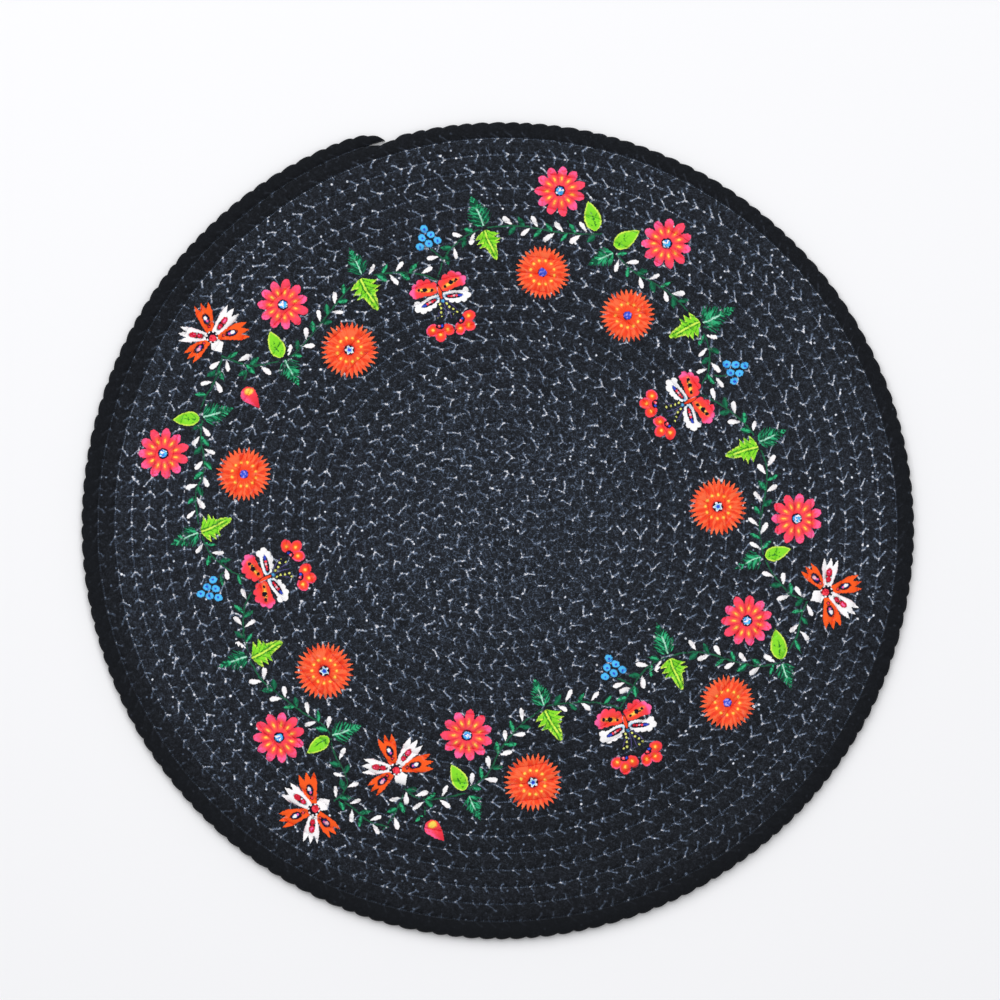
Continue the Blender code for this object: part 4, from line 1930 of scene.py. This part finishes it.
    def round_rim(self, radius: Array, height: Array, wound: Array, middle: Array,
                  half: Array, lobe: Array, lift: Array) -> tuple[Array, Array]:
        """Round the outer half of the outermost turn down to the surface that the mat rests on.

        Args:
            radius, height: the row as it would be between two neighbours.
            wound, middle, half: the angle wound and the row's middle and half width.
            lobe, lift: how the stitches stand.

        Returns:
            The radii and heights with the rim.
        """
        count = len(self.rim_angles)
        angle = np.radians(np.array(self.rim_angles))[None, :]
        sine = np.sin(angle)
        above = self.rim_height + (self.crest - self.rim_height) * np.abs(sine) ** 0.85
        lowest = math.sin(math.radians(-self.rim_angles[-1]))
        below = self.rim_height - (self.rim_height - 0.0001) * (np.abs(sine) / lowest) ** 0.9
        rim_z = np.where(angle > 0, above, below)
        out = np.cos(angle) ** np.where(angle > 0, 0.9, 1.5)
        side = np.cos(np.clip(angle, -math.pi / 2, math.pi / 2)) ** 2
        step = 1 - lobe
        rim_r = middle[:, -count:] + (half[:, -count:] - self.rim_bulge * step * side) * out
        top = np.clip(sine, 0, 1)
        rim_z = rim_z - self.groove * step * top + self.unevenness * lift * top
        share = np.clip((wound[:, -count:] - TAU - self.blend * 0.35) / (self.blend * 0.4), 0, 1)
        radius = radius.copy()
        height = np.broadcast_to(height, radius.shape).copy()
        flat_r = middle[:, -count:] + half[:, -count:] * np.where(angle > 0, np.cos(angle) ** 0.9, 1.0)
        flat_z = np.where(angle > 0, height[:, -count:], self.seam + sine * 0.0022)
        radius[:, -count:] = rim_r * (1 - share) + flat_r * share
        height[:, -count:] = rim_z * (1 - share) + flat_z * share
        return radius, height

    def build(self, materials: list[bpy.types.Material]) -> list[bpy.types.Object]:
        """Build one piece for each turn.

        Args:
            materials: the finishes, in the order of the wreath's motifs.

        Returns:
            The pieces, from the rim to the middle.
        """
        per = len(self.fractions)
        cuts = [0]
        for turn in range(1, self.turns):
            past = self.blend if turn == 1 else 0.0
            way = np.interp(TAU * turn + past, self.plait.wound, self.plait.way)
            cuts.append(int(np.argmin(np.abs(self.plait.ends - way))))
        cuts.append(self.plait.count)
        rim = self.shell(0, cuts[1], True)
        rest = self.shell(cuts[1], self.plait.count, False)
        pieces = []
        for turn in range(self.turns):
            shell = rim if turn == 0 else rest
            base = 0 if turn == 0 else cuts[1]
            start = (cuts[turn] - base) * per
            end = (cuts[turn + 1] - base) * per
            pieces.append(self.build_turn(shell, start, end, turn, materials))
        return pieces

    def build_turn(self, shell: Shell, start: int, end: int, turn: int,
                   materials: list[bpy.types.Material]) -> bpy.types.Object:
        """Build and dress one turn.

        Args:
            shell: the grid that it is part of.
            start, end: its first and last line.
            turn: its number from the rim, from 0.
            materials: the finishes, in the order of the wreath's motifs.

        Returns:
            The piece.
        """
        cloth = ClothMesh(shell, start, end)
        piece = cloth.build(f"cord_turn_{turn + 1:02d}")
        cloth.unroll(piece)
        motif_of, place = self.wreath.print_on(cloth.corners())
        used = sorted(set(motif_of.tolist()) | {0})
        for number in used:
            piece.data.materials.append(materials[number])
        slot_of = np.zeros(len(materials), np.int32)
        slot_of[used] = np.arange(len(used))
        piece.data.polygons.foreach_set("material_index", slot_of[motif_of])
        motif = piece.data.attributes.new("motif", "FLOAT_VECTOR", "CORNER")
        motif.data.foreach_set("vector", place.astype(np.float32).ravel())
        return piece


@dataclass
class Underside:
    """The side that lies on the table: the same plaited cord, unprinted and pressed flat."""

    run: CordRun
    plait: Plait
    seam: float = 0.0010
    groove: float = 0.00045
    tuck: float = 0.0009
    edge_inset: float = 0.0012
    fold: float = 0.0006  # what the rows' edges at the rim are gathered into
    free_tip: float = math.radians(3)  # how far the outer end is loose on its inner side
    fractions: Floats = (0.0, 0.12, 0.38, 0.66, 0.88)
    columns: Floats = (-1.1, -0.95, -0.72, -0.35, 0.05, 0.4, 0.72, 0.95, 1.1)

    def shell(self) -> Shell:
        """Work out the points of the whole underside.

        Returns:
            The grid.
        """
        stitches = np.arange(self.plait.count)[:, None] + np.array(self.fractions)[None, :]
        place = np.r_[stitches.ravel(), float(self.plait.count)][:, None]
        part = place - np.floor(place)
        lobe = 1 - np.abs(2 * part - 1) ** 2.4
        across = np.array(self.columns)[None, :]
        way = self.plait.way_at(place, np.clip(across, -1, 1))
        wound = self.plait.wound_at(way)
        outer = self.run.side(wound) - self.run.slit(wound)
        inner = np.minimum(self.run.side(wound + TAU), outer)
        middle = (outer + inner) / 2
        half = (outer - inner) / 2
        radius = middle + np.where(wound < self.free_tip, np.clip(across, -1, 1), across) * half
        edge = np.abs(across).clip(0, 1)
        height = self.seam * edge ** 3 + self.groove * (1 - lobe) * (0.4 + 0.6 * edge)
        height = height + np.maximum(np.abs(across) - 0.95, 0) / 0.15 * self.tuck
        free = np.clip((TAU + self.free_tip - wound) / math.radians(1.2), 0, 1)
        limit = np.maximum(outer - self.edge_inset - self.fold, np.minimum(inner, outer - 0.0003))
        over = np.clip((radius - limit) / 0.0015, 0, 1)
        radius = np.where((radius > limit) & (free > 0), limit + over * self.fold, radius)
        height = np.where(over * free > 0, np.minimum(height, 0.00025) + 0.0005 * over, height)
        rim = np.where(wound < TAU + self.free_tip, (outer - radius) / MM, 9.0)
        rim = np.where(wound < math.radians(4), np.minimum(rim, (radius - inner) / MM), rim)
        return Shell(self.run.place(wound, radius, height), {"cord": cord_vectors(place, across, rim)},
                     np.broadcast_to(way, radius.shape), len(self.fractions), False)

    def build(self, material: bpy.types.Material) -> bpy.types.Object:
        """Build the underside.

        Args:
            material: its finish.

        Returns:
            The piece.
        """
        shell = self.shell()
        cloth = ClothMesh(shell, 0, shell.points.shape[0] - 1)
        piece = cloth.build("cord_underside")
        piece.data.materials.append(material)
        reach = 2 * self.run.outer_radius + 0.01
        layer = piece.data.uv_layers.new(name="OFBake")
        flat = cloth.corners() * MM / reach + 0.5
        layer.data.foreach_set("uv", flat.astype(np.float32).ravel())
        return piece


@dataclass
class Mat:
    """The whole placemat."""

    run: CordRun = field(default_factory=CordRun)
    wreath: Wreath = field(default_factory=Wreath)

    def build(self) -> None:
        """Build, dress and declare every piece."""
        plait = Plait(self.run)
        finishes = [PrintedCord(motif.name, motif=motif).material() for motif in self.wreath.motifs]
        turns = CoiledCord(self.run, plait, self.wreath).build(finishes)
        under = Underside(self.run, plait).build(BareCord().material())
        for piece in (under, *turns):
            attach(piece, "root")
            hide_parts("mat")
            LOG.info("%s: %d faces, %d finishes", piece.name, len(piece.data.polygons),
                     len(piece.data.materials))


# The studio


@dataclass
class Studio:
    """The floor, the light and the camera, at the photograph's angle."""

    target: tuple[float, float, float] = (0.0011, 0.0124, 0.0045)
    distance: float = 3.4
    elevation: float = math.radians(82)
    field: float = 0.4568  # metres across the picture at the mat
    sensor: float = 36.0
    floor_size: float = 6.0

    def build(self) -> None:
        """Set up the floor, the light and the camera."""
        self.add_floor()
        self.add_light()
        self.add_camera()
        bpy.context.scene.view_settings.view_transform = "Standard"

    def add_floor(self) -> None:
        """Lay the plain pale floor just under the mat."""
        half = self.floor_size / 2
        corners = [(-half, -half, 0), (half, -half, 0), (half, half, 0), (-half, half, 0)]
        mesh = bpy.data.meshes.new("floor")
        mesh.from_pydata(corners, [], [(0, 1, 2, 3)])
        floor = bpy.data.objects.new("floor", mesh)
        floor.location.z = -0.0003
        mesh.materials.append(FloorPaint().material())
        bpy.context.scene.collection.objects.link(floor)

    def add_light(self) -> None:
        """Light it evenly, with a large soft lamp high to the back left."""
        world = bpy.data.worlds.new("studio")
        world.use_nodes = True
        net = Network(world.node_tree)
        sky = net.node("ShaderNodeBackground", None, {"Color": (0.97, 0.98, 1.0, 1.0), "Strength": 0.34})
        net.node("ShaderNodeOutputWorld", None, {"Surface": sky.outputs[0]})
        bpy.context.scene.world = world
        self.add_lamp("soft_key", (-0.35, 0.85, 1.9), 2.6, 42.5)
        self.add_lamp("soft_fill", (0.8, -0.5, 2.1), 1.6, 9.0)

    def add_lamp(self, name: str, place: tuple[float, float, float], size: float, power: float) -> None:
        """Hang a square lamp that faces the mat.

        Args:
            name: its name.
            place: where it hangs.
            size: its side in metres.
            power: its power in watts.
        """
        data = bpy.data.lights.new(name, "AREA")
        data.size = size
        data.energy = power
        lamp = bpy.data.objects.new(name, data)
        lamp.location = place
        lamp.rotation_mode = "QUATERNION"
        lamp.rotation_quaternion = (-Vector(place)).to_track_quat("-Z", "Y")
        bpy.context.scene.collection.objects.link(lamp)

    def add_camera(self) -> None:
        """Set the camera above the mat's near side."""
        data = bpy.data.cameras.new("camera")
        data.sensor_width = self.sensor
        data.lens = self.sensor * self.distance / self.field
        camera = bpy.data.objects.new("camera", data)
        back = Vector((0.0, -math.cos(self.elevation), math.sin(self.elevation)))
        camera.location = Vector(self.target) + back * self.distance
        camera.rotation_mode = "QUATERNION"
        camera.rotation_quaternion = (-back).to_track_quat("-Z", "Y")
        bpy.context.scene.collection.objects.link(camera)
        bpy.context.scene.camera = camera


def main() -> None:
    """Build the mat and its studio."""
    logging.basicConfig(level=logging.INFO, format="%(name)s: %(message)s")
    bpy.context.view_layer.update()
    Mat().build()
    Studio().build()


if __name__ == "__main__":
    main()
